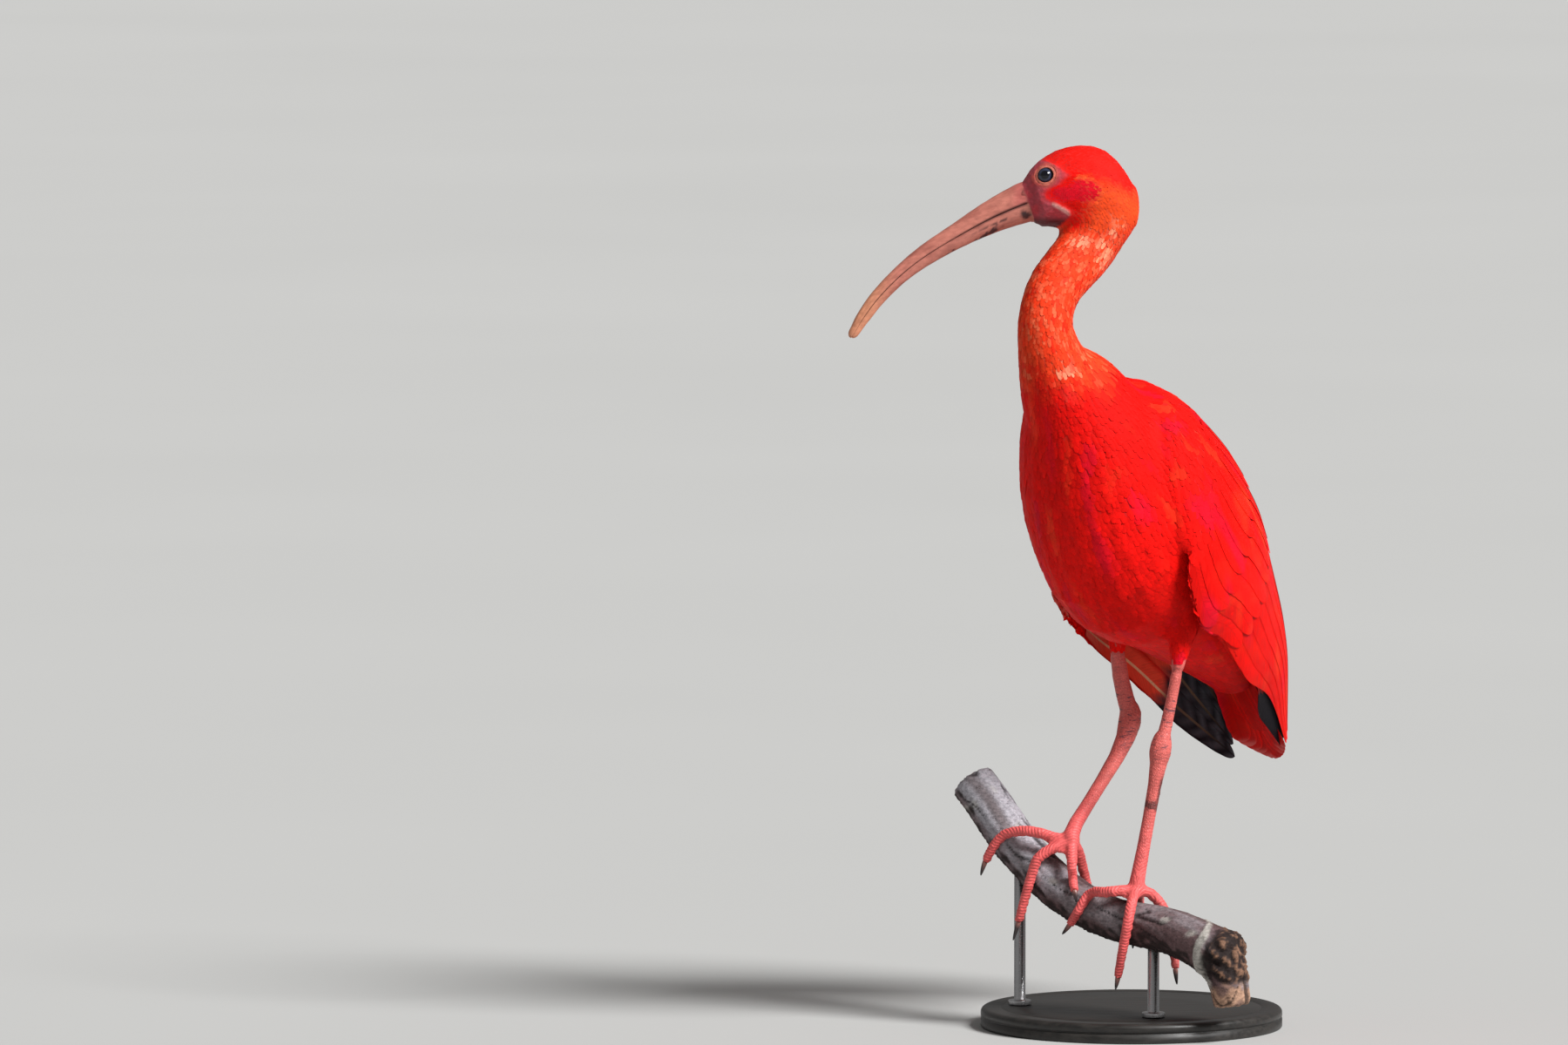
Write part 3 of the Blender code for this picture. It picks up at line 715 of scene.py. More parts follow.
def wing_frame(t, q, side):
    """Places on the wing with the direction to the tip, the one to the lower edge and the outward one."""
    step = 0.01
    handed = 1 if side == "right" else -1
    place = wing_place(t, q, side)
    along = unit(wing_place(np.minimum(t + step, 1), q, side) - wing_place(np.maximum(t - step, 0), q, side))
    down = unit(wing_place(t, q + step, side) - wing_place(t, q - step, side))
    out = unit(np.cross(along, down)) * handed
    return place, along, unit(np.cross(out, along)) * handed, out


def nearest_index(places, guides):
    """Index of the guide place nearest to each place."""
    found = np.empty(len(places), int)
    for start in range(0, len(places), 4096):
        chunk = places[start : start + 4096]
        gap = (guides**2).sum(1) - 2 * chunk @ guides.T
        found[start : start + 4096] = gap.argmin(1)
    return found


INNER_SIDE = 2.0  # added to a wing's own t on the side towards the body
FLOW_STEPS = 30  # how often the lie of the coat is evened out


def lie_along(skin, chosen, line, count):
    """Lays the feathers of the chosen vertices the way that a line runs near them."""
    places = smooth(line, np.linspace(0, 1, count))
    ways = unit(np.gradient(places, axis=0))
    skin.flow[chosen] = ways[nearest_index(skin.points[chosen], places)]


def comb(skin):
    """Gives each vertex the way its feathers lie, and its place on its wing."""
    count = len(skin.points)
    skin.flow = np.zeros((count, 3))
    skin.wing_t, skin.wing_q, skin.rim = np.full(count, -1.0), np.zeros(count), np.zeros(count)
    head_line, rest = np.array(HEAD_LINE, float).T, np.array(NECK_LINE + TRUNK_LINE, float).T
    middle_line = np.concatenate([head(*head_line), body(*rest)])
    lie_along(skin, in_region(skin, "head", "neck", "trunk"), middle_line, 240)
    t, q = np.meshgrid(np.linspace(0, 1, 60), np.linspace(0, 1, 30), indexing="ij")
    t, q = t.ravel(), q.ravel()
    for side in WING_EDGES:
        own = on_nodes(skin, f"wing_{side}")
        place, along, _, out = wing_frame(t, q, side)
        near = nearest_index(skin.points[own], place)
        facing = (skin.normals[own] * out[near]).sum(1)
        skin.flow[own] = along[near]
        skin.wing_t[own] = np.where(facing > 0, t[near], INNER_SIDE + t[near])
        skin.wing_q[own] = q[near]
        skin.rim[own] = ramp(np.abs(facing), 0.9, 0.4) * ramp(q[near], 0.6, 0.8)
        thigh_line = body(*np.array(THIGH_LINES[side], float).T)
        lie_along(skin, on_nodes(skin, f"thigh_{side}", f"shank_{side}"), thigh_line, 60)
    for _ in range(FLOW_STEPS):
        skin.flow = averaged(skin.flow, skin.edges)
        skin.flow -= skin.normals * (skin.flow * skin.normals).sum(1, keepdims=True)
        skin.flow = unit(skin.flow)


# For each region: the distance between roots, the length, the width and the height of the tips.
FEATHERS = {
    "head": (1.35, 5.2, 2.1, 0.30),
    "neck": (1.75, 8.5, 2.7, 0.45),
    "trunk": (2.6, 13.0, 4.6, 0.60),
    "wing": (3.1, 13.0, 5.8, 0.60),
    "thigh": (2.1, 9.0, 3.2, 0.60),
    "leg": (2.1, 8.0, 3.0, 0.50),
    "foot": (2.1, 8.0, 3.0, 0.50),
}
RIM_CUT = (0.4, 0.35, 0.55, 0.8)  # how much smaller each of those is on the rim of a wing
COVERTS_END = 0.47  # how far along the wing the small feathers reach
RIM_END = 0.18  # how much sooner they end on its rim
LINING_END = 0.34  # and how far they reach on its inner side
OPEN_AIR = 3.5  # how much room above the skin a feather needs
THIGH_ENDS = {"left": 229.0, "right": 231.0}  # heights of the lowest feathers' roots
THIGH_FADE = 12.0  # over how much height above those the feathers shorten
THIGH_CUT = (0.3, 1.0, 0.5, 0.6)  # and how much of that shortening each of their sizes takes
FRONT_CUT = 0.35  # how much smaller all of them are at the front of the head
SIZE_STEPS = 60  # how often the sizes are evened out between regions


def on_left(points):
    """Whether places are on the bird's left."""
    origin = body(0, 0, 0)
    return (points - origin) @ (body(0, 1, 0) - origin) > 0


def above_thigh_end(skin):
    """How far places are above the ragged line where the thigh's feathers stop."""
    end = np.where(on_left(skin.points), THIGH_ENDS["left"], THIGH_ENDS["right"])
    return skin.points[:, 2] - end + 1.6 * lumps(skin.points, 4, 71)


def plan_coat(skin):
    """Sizes of the feathers everywhere, and where they can grow."""
    skin.sizes = np.array([FEATHERS[name] for name in REGIONS])[skin.region]
    ahead, above, _ = in_head(skin.points)
    on_head, on_thigh = in_region(skin, "head"), in_region(skin, "thigh")
    on_wing = (skin.wing_t >= 0) & (skin.wing_t < INNER_SIDE)
    front = np.where(on_head, 1 - FRONT_CUT * ramp(ahead, 2, 24), 1)
    tipwards = np.where(on_wing, 0.85 + 0.9 * np.clip(skin.wing_t, 0, 0.6), 1)
    skin.sizes = skin.sizes * (front * tipwards)[:, None]
    for _ in range(SIZE_STEPS):
        skin.sizes = averaged(skin.sizes, skin.edges)
    skin.sizes *= 1 - np.array(RIM_CUT) * skin.rim[:, None]
    rise = above_thigh_end(skin)
    shorter = 0.45 * ramp(rise, THIGH_FADE, 0) * on_thigh
    skin.sizes *= 1 - np.array(THIGH_CUT) * shorter[:, None]
    feathered = np.array([COAT_DEPTH[name] > 0 for name in REGIONS])[skin.region]
    bare = (bare_face(ahead, above) & on_head) | (on_thigh & (rise < 0))
    open_air = np.ones(len(skin.points), bool)
    for i in np.flatnonzero(feathered & ~bare):
        way = Vector(skin.normals[i])
        hit = skin.tree.ray_cast(Vector(skin.points[i]) + way * 0.5, way, OPEN_AIR)
        open_air[i] = hit[0] is None
    inner = skin.wing_t >= INNER_SIDE
    covered = skin.wing_t < COVERTS_END - RIM_END * (skin.rim > 0.1)
    reached = np.where(inner, skin.wing_t < INNER_SIDE + LINING_END, covered)
    skin.grows = feathered & ~bare & open_air & reached


def scatter(skin):
    """Roots, as vertices of the skin, no nearer to each other than the feathers there ask."""
    candidates = np.flatnonzero(skin.grows)
    rng.shuffle(candidates)
    cell = skin.sizes[candidates, 0].max()
    grid, chosen = {}, []
    for i in candidates:
        place, gap = skin.points[i], skin.sizes[i, 0]
        home = tuple((place // cell).astype(int))
        near = [
            other
            for dx in (-1, 0, 1)
            for dy in (-1, 0, 1)
            for dz in (-1, 0, 1)
            for other in grid.get((home[0] + dx, home[1] + dy, home[2] + dz), ())
        ]
        x, y, z = place
        if all((x - a) ** 2 + (y - b) ** 2 + (z - c) ** 2 > gap * gap for a, b, c in near):
            grid.setdefault(home, []).append((x, y, z))
            chosen.append(i)
    return np.array(chosen)


def walk(skin, roots, start, lengths, steps):
    """Places, normals and ways of lines over the skin, from the roots and first ways on as the coat lies."""
    places, normals, ways = [skin.points[roots]], [skin.normals[roots]], [start]
    stride = (lengths / steps)[:, None]
    for _ in range(steps):
        ahead = places[-1] + ways[-1] * stride
        found = [skin.tree.find_nearest(place) for place in ahead.tolist()]
        face = np.array([hit[2] for hit in found])
        places.append(np.array([hit[0] for hit in found]))
        normals.append(skin.face_normals[face])
        turned = 0.65 * ways[-1] + 0.35 * skin.face_flow[face]
        turned = turned - normals[-1] * (turned * normals[-1]).sum(1, keepdims=True)
        ways.append(unit(turned))
    return np.stack(places, 1), np.stack(normals, 1), np.stack(ways, 1)


LEAF_RINGS = 7
LEAF_KINDS = 8  # how many small feathers are drawn, each with its own barbs parted
ROOT_SUNK = 0.35  # how deep in the skin a small feather's root lies


def leaf(rings, seed):
    """A unit feather, a thin closed leaf with the edges' barbs parted here and there.

    For each ring of left edge, ridge, right edge and underside it gives how far along the ring is, its places
    across and up, and how far they run on tipwards.
    """
    parted = np.random.default_rng(seed)
    s = np.arange(rings) / rings
    width = np.minimum(1, 0.4 + 2.2 * s) * np.sqrt(1 - s**4)
    notch = 1 - 0.3 * parted.random((rings, 2)) * (np.arange(rings)[:, None] % 2)
    across = np.stack([-width * notch[:, 0], 0 * s, width * notch[:, 1], 0 * s], 1)
    up = np.stack([0 * s, 1 - s, 0 * s, -0.5 * (1 - s)], 1)
    slope = 0.09 * np.abs(across)
    return s, across, up, slope


def leaf_faces(rings):
    """Triangles of a leaf: the root's cap, the sides and the tip."""
    faces = [(0, 1, 2), (0, 2, 3)]
    for i in range(rings - 1):
        for j in range(4):
            a, b = 4 * i + j, 4 * i + (j + 1) % 4
            faces += [(a, b + 4, b), (a, a + 4, b + 4)]
    last, tip = 4 * (rings - 1), 4 * rings
    faces += [(last + j, tip, last + (j + 1) % 4) for j in range(4)]
    return np.array(faces)


def leaf_upper(rings):
    """Which of those triangles are on the upper side."""
    ring = [True] * 4 + [False] * 4
    return np.array([False] * 2 + ring * (rings - 1) + [True] * 2 + [False] * 2)


class Leaves:
    """Small feathers: an array with one row for each of them, for every fact about their points."""


def lay_leaves(skin, roots, rings):
    """One small feather for each root, lying on the skin with its tip a little raised."""
    count = len(roots)
    spread = 1 + rng.normal(0, 0.12, (count, 2)).clip(-0.3, 0.3)
    _, length, width, height = skin.sizes[roots].T
    length, width = length * spread[:, 0], width * spread[:, 1]
    height = height * rng.uniform(0.6, 1.1, count)
    flow = skin.flow[roots]
    side = np.cross(skin.normals[roots], flow)
    lean = rng.normal(0, 0.12, (count, 1))
    places, normals, ways = walk(skin, roots, unit(flow + side * lean), length, rings)
    side = np.cross(normals, ways)

    kinds = [leaf(rings, seed) for seed in range(LEAF_KINDS)]
    kind = rng.integers(0, len(kinds), count)
    s, across, up, slope = (np.stack(values)[kind] for values in zip(*kinds))
    lift = -ROOT_SUNK + (height[:, None] + ROOT_SUNK) * s**0.75
    thick = 0.06 + 0.02 * width
    curl = 0.045 * width
    rise = lift[..., None] + up * thick[:, None, None] - (across**2) * curl[:, None, None]
    points = (
        places[:, :rings, None]
        + side[:, :rings, None] * (across * width[:, None, None] / 2)[..., None]
        + normals[:, :rings, None] * rise[..., None]
        + ways[:, :rings, None] * (slope * length[:, None, None])[..., None]
    )
    tips = places[:, rings] + normals[:, rings] * (height * 0.8)[:, None]
    leaves = Leaves()
    leaves.roots, leaves.faces = roots, leaf_faces(rings)
    leaves.points = np.concatenate([points.reshape(count, -1, 3), tips[:, None]], 1)
    along = np.repeat(s, 4, axis=1) + slope.reshape(count, -1)
    leaves.along = np.concatenate([along, np.ones((count, 1))], 1)
    leaves.beside = np.concatenate([across.reshape(count, -1), np.zeros((count, 1))], 1)
    leaves.barbs = np.stack([leaves.along * length[:, None], leaves.beside * width[:, None] / 2], -1)
    tilt = (height / length)[:, None, None]
    shown = normals[:, :rings, None] + (across * 0.14)[..., None] * side[:, :rings, None]
    shown = unit(shown - ways[:, :rings, None] * tilt[..., None]).reshape(count, -1, 3)
    leaves.normals = np.concatenate([shown, normals[:, rings:]], 1)
    leaves.upper = leaf_upper(rings)
    return leaves


# Markings, shared by the skin and the coat

SCARLET = (0.80, 0.005, 0.003)
CRIMSON = (0.68, 0.004, 0.030)
ORANGE = (0.87, 0.050, 0.014)
CROWN = (0.80, 0.010, 0.006)
NECK = (0.86, 0.048, 0.012)
CHEEK = (0.88, 0.072, 0.015)
MOTTLE = (0.93, 0.20, 0.09)
PEACH = (0.94, 0.38, 0.22)
LINING = (0.86, 0.36, 0.28)
EAR, EAR_RIM = (0.72, 0.006, 0.018), (0.90, 0.10, 0.025)
FACE, FACE_RED, CHIN_SHADOW = (0.50, 0.058, 0.080), (0.62, 0.028, 0.040), (0.13, 0.010, 0.015)
LID_INNER, LID_OUTER, LASHES = (0.74, 0.19, 0.13), (0.60, 0.082, 0.070), (0.10, 0.020, 0.020)
PALE_STRIPE = (0.85, 0.40, 0.36)
LEG, FOOT, PAD = (0.68, 0.135, 0.115), (0.78, 0.118, 0.115), (0.60, 0.12, 0.11)
SMEAR = (0.07, 0.022, 0.020)
BLACK, SHEEN_GREY, IVORY = (0.010, 0.008, 0.011), (0.085, 0.085, 0.100), (0.95, 0.62, 0.36)

NECK_EDGE = (394.0, 416.0)  # heights between which the breast's red turns to the neck's orange
NECK_BACK = 76.0  # further back than this, in the body's own direction, that turn is higher up
CROWN_EDGE = [(-28, 0), (-20, 3), (-10, 6), (0, 9.5), (12, 11.5), (20, 13.5), (45, 14)]  # ahead, above
EAR_PATCHES = [((6, 1.8), (9.5, 7.5)), ((17, -1), (8, 4.5))]  # centre and radii, ahead and above
PEACH_PATCHES = [((-12, -32), (8, 13)), ((-17, -17), (7, 8)), ((2, -25), (9, 5)), ((18, -101), (11, 4))]
CHEEK_EDGE = (12.0, -4.0)  # how far ahead the cheek is still red, and where it is quite orange
# Painted shade: the skin under the feathers is painted darker, so the gaps between them look shaded.
UNDER_COAT_SHADE = 0.85  # how bright the skin is under the feathers


def stretched(places):
    """Places squeezed along the folded wing, so that lumps in them become streaks that way."""
    way = unit(body(-116, 0, 165) - body(41, 0, 350))
    return places - (places @ way)[:, None] * way * 0.82


def patch(ahead, above, ovals):
    """How deep places are in some ovals: 1 in a middle, 0 on a rim and less outside."""
    depths = [1 - np.hypot((ahead - x) / wide, (above - y) / tall) for (x, y), (wide, tall) in ovals]
    return np.max(depths, axis=0)


def feather_colours(places, region):
    """Scarlet body and crown, orange neck and cheek with pale mottles, and a crimson ear patch."""
    ahead, above, _ = in_head(places)
    on_head, on_wing = (region == REGIONS.index(name) for name in ("head", "wing"))
    streak = lumps(stretched(places), 7, 3)
    colour = mix(SCARLET, ORANGE, 0.45 * ramp(streak, 0.6, 1.5))
    colour = mix(colour, CRIMSON, 0.55 * ramp(-streak, 0.5, 1.4))
    throat = mix(NECK, MOTTLE, 0.5 * ramp(lumps(places, 3.4, 4), 0.2, 1.2))
    throat = mix(throat, SCARLET, 0.6 * ramp(lumps(places, 4.5, 8), 0.3, 1.3))
    origin = body(0, 0, 0)
    back = np.maximum(NECK_BACK - (places - origin) @ (body(1, 0, 0) - origin), 0)
    high = ramp(places[:, 2] - 0.8 * back + 5 * lumps(places, 9, 9), *NECK_EDGE)
    colour = mix(colour, throat, high * ~on_wing)
    cheek = on_head * ramp(above, -24, -14)
    colour = mix(colour, CHEEK, cheek * ramp(ahead, *CHEEK_EDGE))
    colour = mix(colour, SCARLET, cheek * ramp(ahead, *CHEEK_EDGE[::-1]))
    peach = ramp(patch(ahead, above, PEACH_PATCHES), 0, 0.55) * (places[:, 2] > 380) * ~on_wing
    colour = mix(colour, PEACH, 0.75 * peach * ramp(lumps(places, 3.0, 5), -0.9, 0.6))
    ear = patch(ahead, above, EAR_PATCHES) + 0.06 * lumps(places, 4, 6)
    behind = ramp(ahead - 0.6 * above, 9, 1)
    colour = mix(colour, EAR_RIM, on_head * ramp(ear, -0.28, -0.06) * behind)
    colour = mix(colour, EAR, on_head * ramp(ear, -0.08, 0.22))
    crown = above - np.interp(ahead, *np.array(CROWN_EDGE, float).T) + 1.5 * lumps(places, 5, 7)
    softness = 1.5 + 4.5 * ramp(ahead, 4, -10)
    colour = mix(colour, CROWN, (places[:, 2] > 495) * ramp(crown / softness, -1, 1))
    return colour * (1 + 0.07 * lumps(places, 32, 1) + 0.05 * lumps(places, 4, 2))[:, None]


def face_colours(skin):
    """The bare face: maroon, with pale eyelids, a dark lash line, a pale stripe behind the mouth and painted
    shadow under the chin.
    """
    places = skin.points
    ahead, above, _ = in_head(places)
    colour = mix(FACE, FACE_RED, 0.5 * ramp(lumps(places, 3.5, 11), -0.2, 1.2))
    edge = ramp(past_face_line(ahead, above), 4.5, 0.5) * ramp(above, -9, -4)
    colour = mix(colour, FACE_RED, 0.8 * edge)
    # Painted shadow: the face turns near black under the chin.
    colour = mix(colour, CHIN_SHADOW, ramp(above, -13.5, -18))
    gap, _ = to_stripe(ahead, above)
    colour = mix(colour, PALE_STRIPE, 0.9 * ramp(gap, STRIPE_WIDTH * 1.25, STRIPE_WIDTH * 0.5))
    horn = ramp(ahead - BILL_SLANT * above + 0.3 * lumps(places, 2, 10), *BILL_BASE)
    colour = mix(colour, bill_colours(places), horn)
    for way in (-1, 1):
        reach, _, height = eye_place(places, way)
        near = height > 0
        ring = mix(LID_INNER, LID_OUTER, ramp(reach + 0.35 * lumps(places, 2, 12), 5.4, 7.4))
        colour = mix(colour, ring, near * ramp(reach + 0.4 * lumps(places, 3, 13), 9.0, 7.4))
        colour = mix(colour, LASHES, near * ramp(reach, 4.75, 4.5))
    return colour * (1 + 0.08 * lumps(places, 1.4, 14))[:, None]


def leg_colours(skin):
    """Coral shanks, pinker feet with paler pads, and a dark smear down the left shank."""
    places = skin.points
    colour = mix(LEG, FOOT, ramp(skin.gone, 95, 40))
    colour = mix(colour, PAD, 0.6 * ramp(skin.dorsal, 0.0, -0.6) * ramp(skin.gone, 60, 45))
    wavy = places[:, 2] + 1.2 * lumps(places, 3, 15)
    smear = ramp(wavy, 136, 137.5) * ramp(wavy, 142.5, 141)
    streak = ramp(wavy, 140, 143) * ramp(wavy, 160, 154) * ramp(skin.normals[:, 0], 0.5, 0.75)
    colour = mix(colour, SMEAR, 0.9 * np.maximum(smear, streak) * on_left(places))
    return colour * (1 + 0.07 * lumps(places, 6, 18) + 0.06 * lumps(places, 1.8, 19))[:, None]


def paint_skin(skin):
    """Colour for every vertex; how much of it is face, leg and creased hock; how far it is from the claws."""
    skin.normals = normals_of(skin.points, skin.faces)
    ahead, above, _ = in_head(skin.points)
    legs = in_region(skin, "leg", "foot") | (in_region(skin, "thigh") & (above_thigh_end(skin) < 0))
    legs = legs.astype(float)
    face = (bare_face(ahead, above) & in_region(skin, "head")).astype(float)
    for _ in range(2):
        legs, face = averaged(legs, skin.edges), averaged(face, skin.edges)
    # Painted shade: the markings are darkened on the skin that shows between the feathers.
    colour = feather_colours(skin.points, skin.region) * UNDER_COAT_SHADE
    colour = mix(colour, face_colours(skin), face)
    colour = mix(colour, leg_colours(skin), legs)
    height = skin.points[:, 2]
    hocks = sum(np.exp(-(((height - level) / HOCK_REACH) ** 2)) for level in HOCKS)
    return colour, np.stack([face, legs, np.clip(hocks, 0, 1) * legs, skin.gone / GONE_SCALE], -1)


# Coat pieces


def leaf_colours(leaves, skin):
    """Each feather takes the marking at its root, darker there than at its tip as painted shade under the
    feathers over it, some with pale flecks.
    """
    roots = leaves.roots
    base = feather_colours(skin.points[roots], skin.region[roots])
    base = base * (1 + 0.06 * rng.normal(size=(len(roots), 1))).clip(0.8, 1.2)
    inner_edge = (skin.wing_t[roots] >= INNER_SIDE) * ramp(skin.wing_q[roots], 0.6, 0.85)
    inner_edge = inner_edge * ~on_left(skin.points[roots]) * (1 - skin.rim[roots])
    base = mix(base, LINING, 0.5 * inner_edge)
    high = ramp(skin.points[roots, 2], NECK_EDGE[1], NECK_EDGE[1] + 25) * in_region(skin, "neck")[roots]
    flecked = high * (rng.random(len(roots)) < 0.3) * rng.uniform(0.15, 0.45, len(roots))
    # Painted shade: each feather darkens towards its root, which lies under the feathers over it.
    shade = 0.86 + 0.18 * leaves.along
    colour = base[:, None] * shade[..., None]
    return mix(colour, MOTTLE, flecked[:, None] * ramp(leaves.along, 0.35, 0.95))


def feather_piece(mesh_parts, maps, colours, normals, upper, material, slot, replaced):
    """One piece of many feathers that have the same faces.

    The mesh's parts are its name, the points of each feather and the faces of one. With the normals its
    shading follows the lie of the coat; they are turned over for the faces that aren't upper ones.
    """
    name, points, faces = mesh_parts
    count, each = points.shape[:2]
    every = (faces[None] + (np.arange(count) * each)[:, None, None]).reshape(-1, 3)
    mesh = new_mesh(name, points.reshape(-1, 3), every)
    for map_name, places in maps.items():
        add_map(mesh, map_name, places.reshape(-1, 2))
    add_paint(mesh, "Paint", colours.reshape(-1, 3))
    add_piece(mesh, material, slot, replaced)
    turned_over = np.where(upper, 1.0, -1.0)[None, :, None, None]
    mesh.normals_split_custom_set((normals[:, faces] * turned_over).reshape(-1, 3).tolist())


def leaf_piece(name, leaves, chosen, replaced):
    """One piece of the coat from the chosen feathers."""
    own = np.stack([leaves.along[chosen] - 0.5, leaves.beside[chosen] * 0.5], -1) * TUFT_PATCH
    maps = {"OFBake": leaves.unwrap[chosen][:, None] + own, "FeatherUV": leaves.barbs[chosen]}
    parts = name, leaves.points[chosen], leaves.faces
    shading = leaves.normals[chosen], leaves.upper
    feather_piece(parts, maps, leaves.colours[chosen], *shading, MATERIALS["feather"], "plumage", replaced)


def tube(rows, around):
    """Triangles of a closed tube of rings, with its ends capped, and each corner's step round and row."""
    k, r = np.meshgrid(np.arange(around), np.arange(rows - 1))
    k, r = k.ravel(), r.ravel()
    first = np.stack([k, k + 1, k + 1], -1), np.stack([r, r, r + 1], -1)
    second = np.stack([k, k + 1, k], -1), np.stack([r, r + 1, r + 1], -1)
    turn = np.arange(1, around - 1)
    start = np.stack([0 * turn, turn + 1, turn], -1), np.zeros((len(turn), 3), int)
    end = np.stack([0 * turn, turn, turn + 1], -1), np.full((len(turn), 3), rows - 1)
    steps, rings = (np.concatenate(part) for part in zip(first, second, start, end))
    return rings * around + steps % around, steps, rings


# Long feathers of the wings and tail

COLUMNS = np.array([-1, -0.66, -0.33, -0.1, -0.05, 0, 0.05, 0.1, 0.33, 0.66, 1])
ON_SHAFT = np.abs(COLUMNS) < 0.07
BLADE_ROWS = 28
BLADE_THICK = 0.26
BLADE_ROUNDING = 0.75  # length of the rounded tip, in widths
STRIP = (0.06, 0.88)  # where a feather's strip begins in its share of the baking map, and how wide it is
SWEEP = 0.9  # how far the barbs run tipwards for each step outwards
ROUND = 2 * len(COLUMNS) - 2  # points in each ring: the upper side, then the underside


class Blades:
    """Long feathers: grids of points on their upper sides, with normals, for feathers, rows and columns."""


def blade_shapes(lengths, widths, rounding):
    """How far along each row is, then how far along and across (in mm) each point of each feather is."""
    s = 1 - (1 - np.linspace(0, 1, BLADE_ROWS)) ** 1.8  # the rows are denser near the tip
    to_tip = np.clip((1 - s) * (lengths / widths)[:, None] / rounding, 0.001, 1)
    shape = np.minimum(1, 0.45 + 2.5 * s) * np.sqrt(1 - (1 - to_tip) ** 2)
    every_third = (np.arange(BLADE_ROWS) % 3 == 1)[:, None]
    frayed = 1 - rng.uniform(0, 0.06, (len(lengths), BLADE_ROWS, 2)) * every_third
    wide = shape[..., None] * np.where(COLUMNS < 0, frayed[..., :1], frayed[..., 1:])
    across = COLUMNS * wide * widths[:, None, None] / 2
    sweep = SWEEP * (0.3 + 0.7 * to_tip) * ramp(s, 0.0, 0.25)
    along = s[:, None] - sweep[..., None] * np.abs(across) / lengths[:, None, None]
    return s, np.clip(along, 0, 1), across


def rings_of(upper, under):
    """Values for every point of the feathers' rings, from those of the two sides' grids."""
    count = len(upper)
    return np.concatenate([upper, under[:, :, -2:0:-1]], 2).reshape(count, BLADE_ROWS * ROUND, -1)


def blade_piece(name, blades, slot, replaced):
    """One piece of long feathers, each on its own strip of the baking map."""
    thick = BLADE_THICK * (1 - 0.6 * np.abs(COLUMNS) ** 2)
    thick = thick + 0.5 * ON_SHAFT * (1 - 0.8 * blades.s)[:, None]
    points = rings_of(blades.upper, blades.upper - blades.normals * thick[None, ..., None])
    faces, steps, rows = tube(BLADE_ROWS, ROUND)
    if blades.flipped:
        faces, steps, rows = faces[:, ::-1], steps[:, ::-1], rows[:, ::-1]
    count = len(points)
    strip = (np.arange(count)[:, None, None] + STRIP[0] + STRIP[1] * steps / ROUND) / count
    row = np.broadcast_to(rows / (BLADE_ROWS - 1), strip.shape)
    barbs = np.stack([rings_of(values, values)[..., 0] for values in (blades.gone, blades.across)], -1)
    maps = {"OFBake": np.stack([strip, row], -1), "FeatherUV": barbs}
    colours = rings_of(blades.colours, blades.beneath)
    shading = rings_of(blades.normals, blades.normals), steps.max(1) <= len(COLUMNS) - 1
    feather_piece((name, points, faces), maps, colours, *shading, MATERIALS["blade"], slot, replaced)


# Rows of a wing's long feathers: how many, width in mm, where the roots and tips lie along the wing at its
# back and at its lower edge, how far from the back the first and last lie, and how high roots and tips stand.
WING_ROWS = {
    "median": (13, 14.0, (0.20, 0.20), (0.44, 0.42), (0.05, 0.95), (-0.85, 0.30)),
    "greater": (12, 16.0, (0.32, 0.32), (0.60, 0.58), (0.06, 0.95), (-0.85, 0.35)),
    "secondary": (12, 20.0, (0.45, 0.45), (0.985, 1.0), (0.10, 0.94), (-0.85, 0.35)),
}
# Where the lowest secondary ends along each wing: they aren't folded alike.
SECONDARY_EDGE = {"left": 1.0, "right": 0.80}
TILT = 0.12  # how far a feather's lower edge stands over the next one, and its upper edge under the last
STACK = 0.05  # how much higher each feather's end lies than the next one's
WIDEST = 0.22  # the most of the wing's own depth that half a feather may cover
OVERHANG = 0.02  # how far feathers may reach past the wing's lower edge, as part of its depth
TIP_OVERHANG = {"left": 0.20, "right": 0.03}  # and how much further the primaries may, near the tip
TIP_FROM = (0.74, 0.88)  # how far along the wing that sets in


def wing_thickness(t, q):
    """The folded wing's depth, as in the CAD."""
    full = 9.0 + (2.4 - 9.0) * t**0.6
    return full * np.minimum(1.0, 0.28 + 3.5 * (1 - q) + 2 * np.maximum(0.3 - t, 0))


def under_wing(t, q, side):
    """Places just under the wing, and near its tip just under the long red feathers."""
    place = wing_place(t, q, side)
    middle = (wing_place(t, 0, side) + wing_place(t, 1, side)) / 2
    origin, left = body(0, 0, 0), body(0, 1, 0) - body(0, 0, 0)
    middle = middle - left * (((middle - origin) @ left) * 0.8)[..., None]
    depth = (wing_thickness(t, q) + 0.4) * ramp(t, 0.86, 0.72) + 1.7 * ramp(t, 0.72, 0.86)
    return place + unit(middle - place) * depth[..., None]


def wing_blades(side, name):
    """One row of the wing's feathers on its outer face, from the back down to the lower edge."""
    count, width, roots, tips, spread, levels = WING_ROWS[name]
    if name == "secondary":
        tips = (tips[0], SECONDARY_EDGE[side])
    share = np.linspace(0, 1, count)
    q = spread[0] + (spread[1] - spread[0]) * share
    start = roots[0] + (roots[1] - roots[0]) * share + rng.normal(0, 0.006, count)
    end = tips[0] + (tips[1] - tips[0]) * share + rng.normal(0, 0.006, count)
    blades = lay_on_wing(side, q, q, start, end, np.full(count, width), levels, False)
    return red_blade_colours(blades, len(name))


def shaft_ridge(s):
    """How far the shaft stands out of the vane, at each row and column."""
    return 0.2 * ON_SHAFT * (1 - 0.8 * s)[:, None]


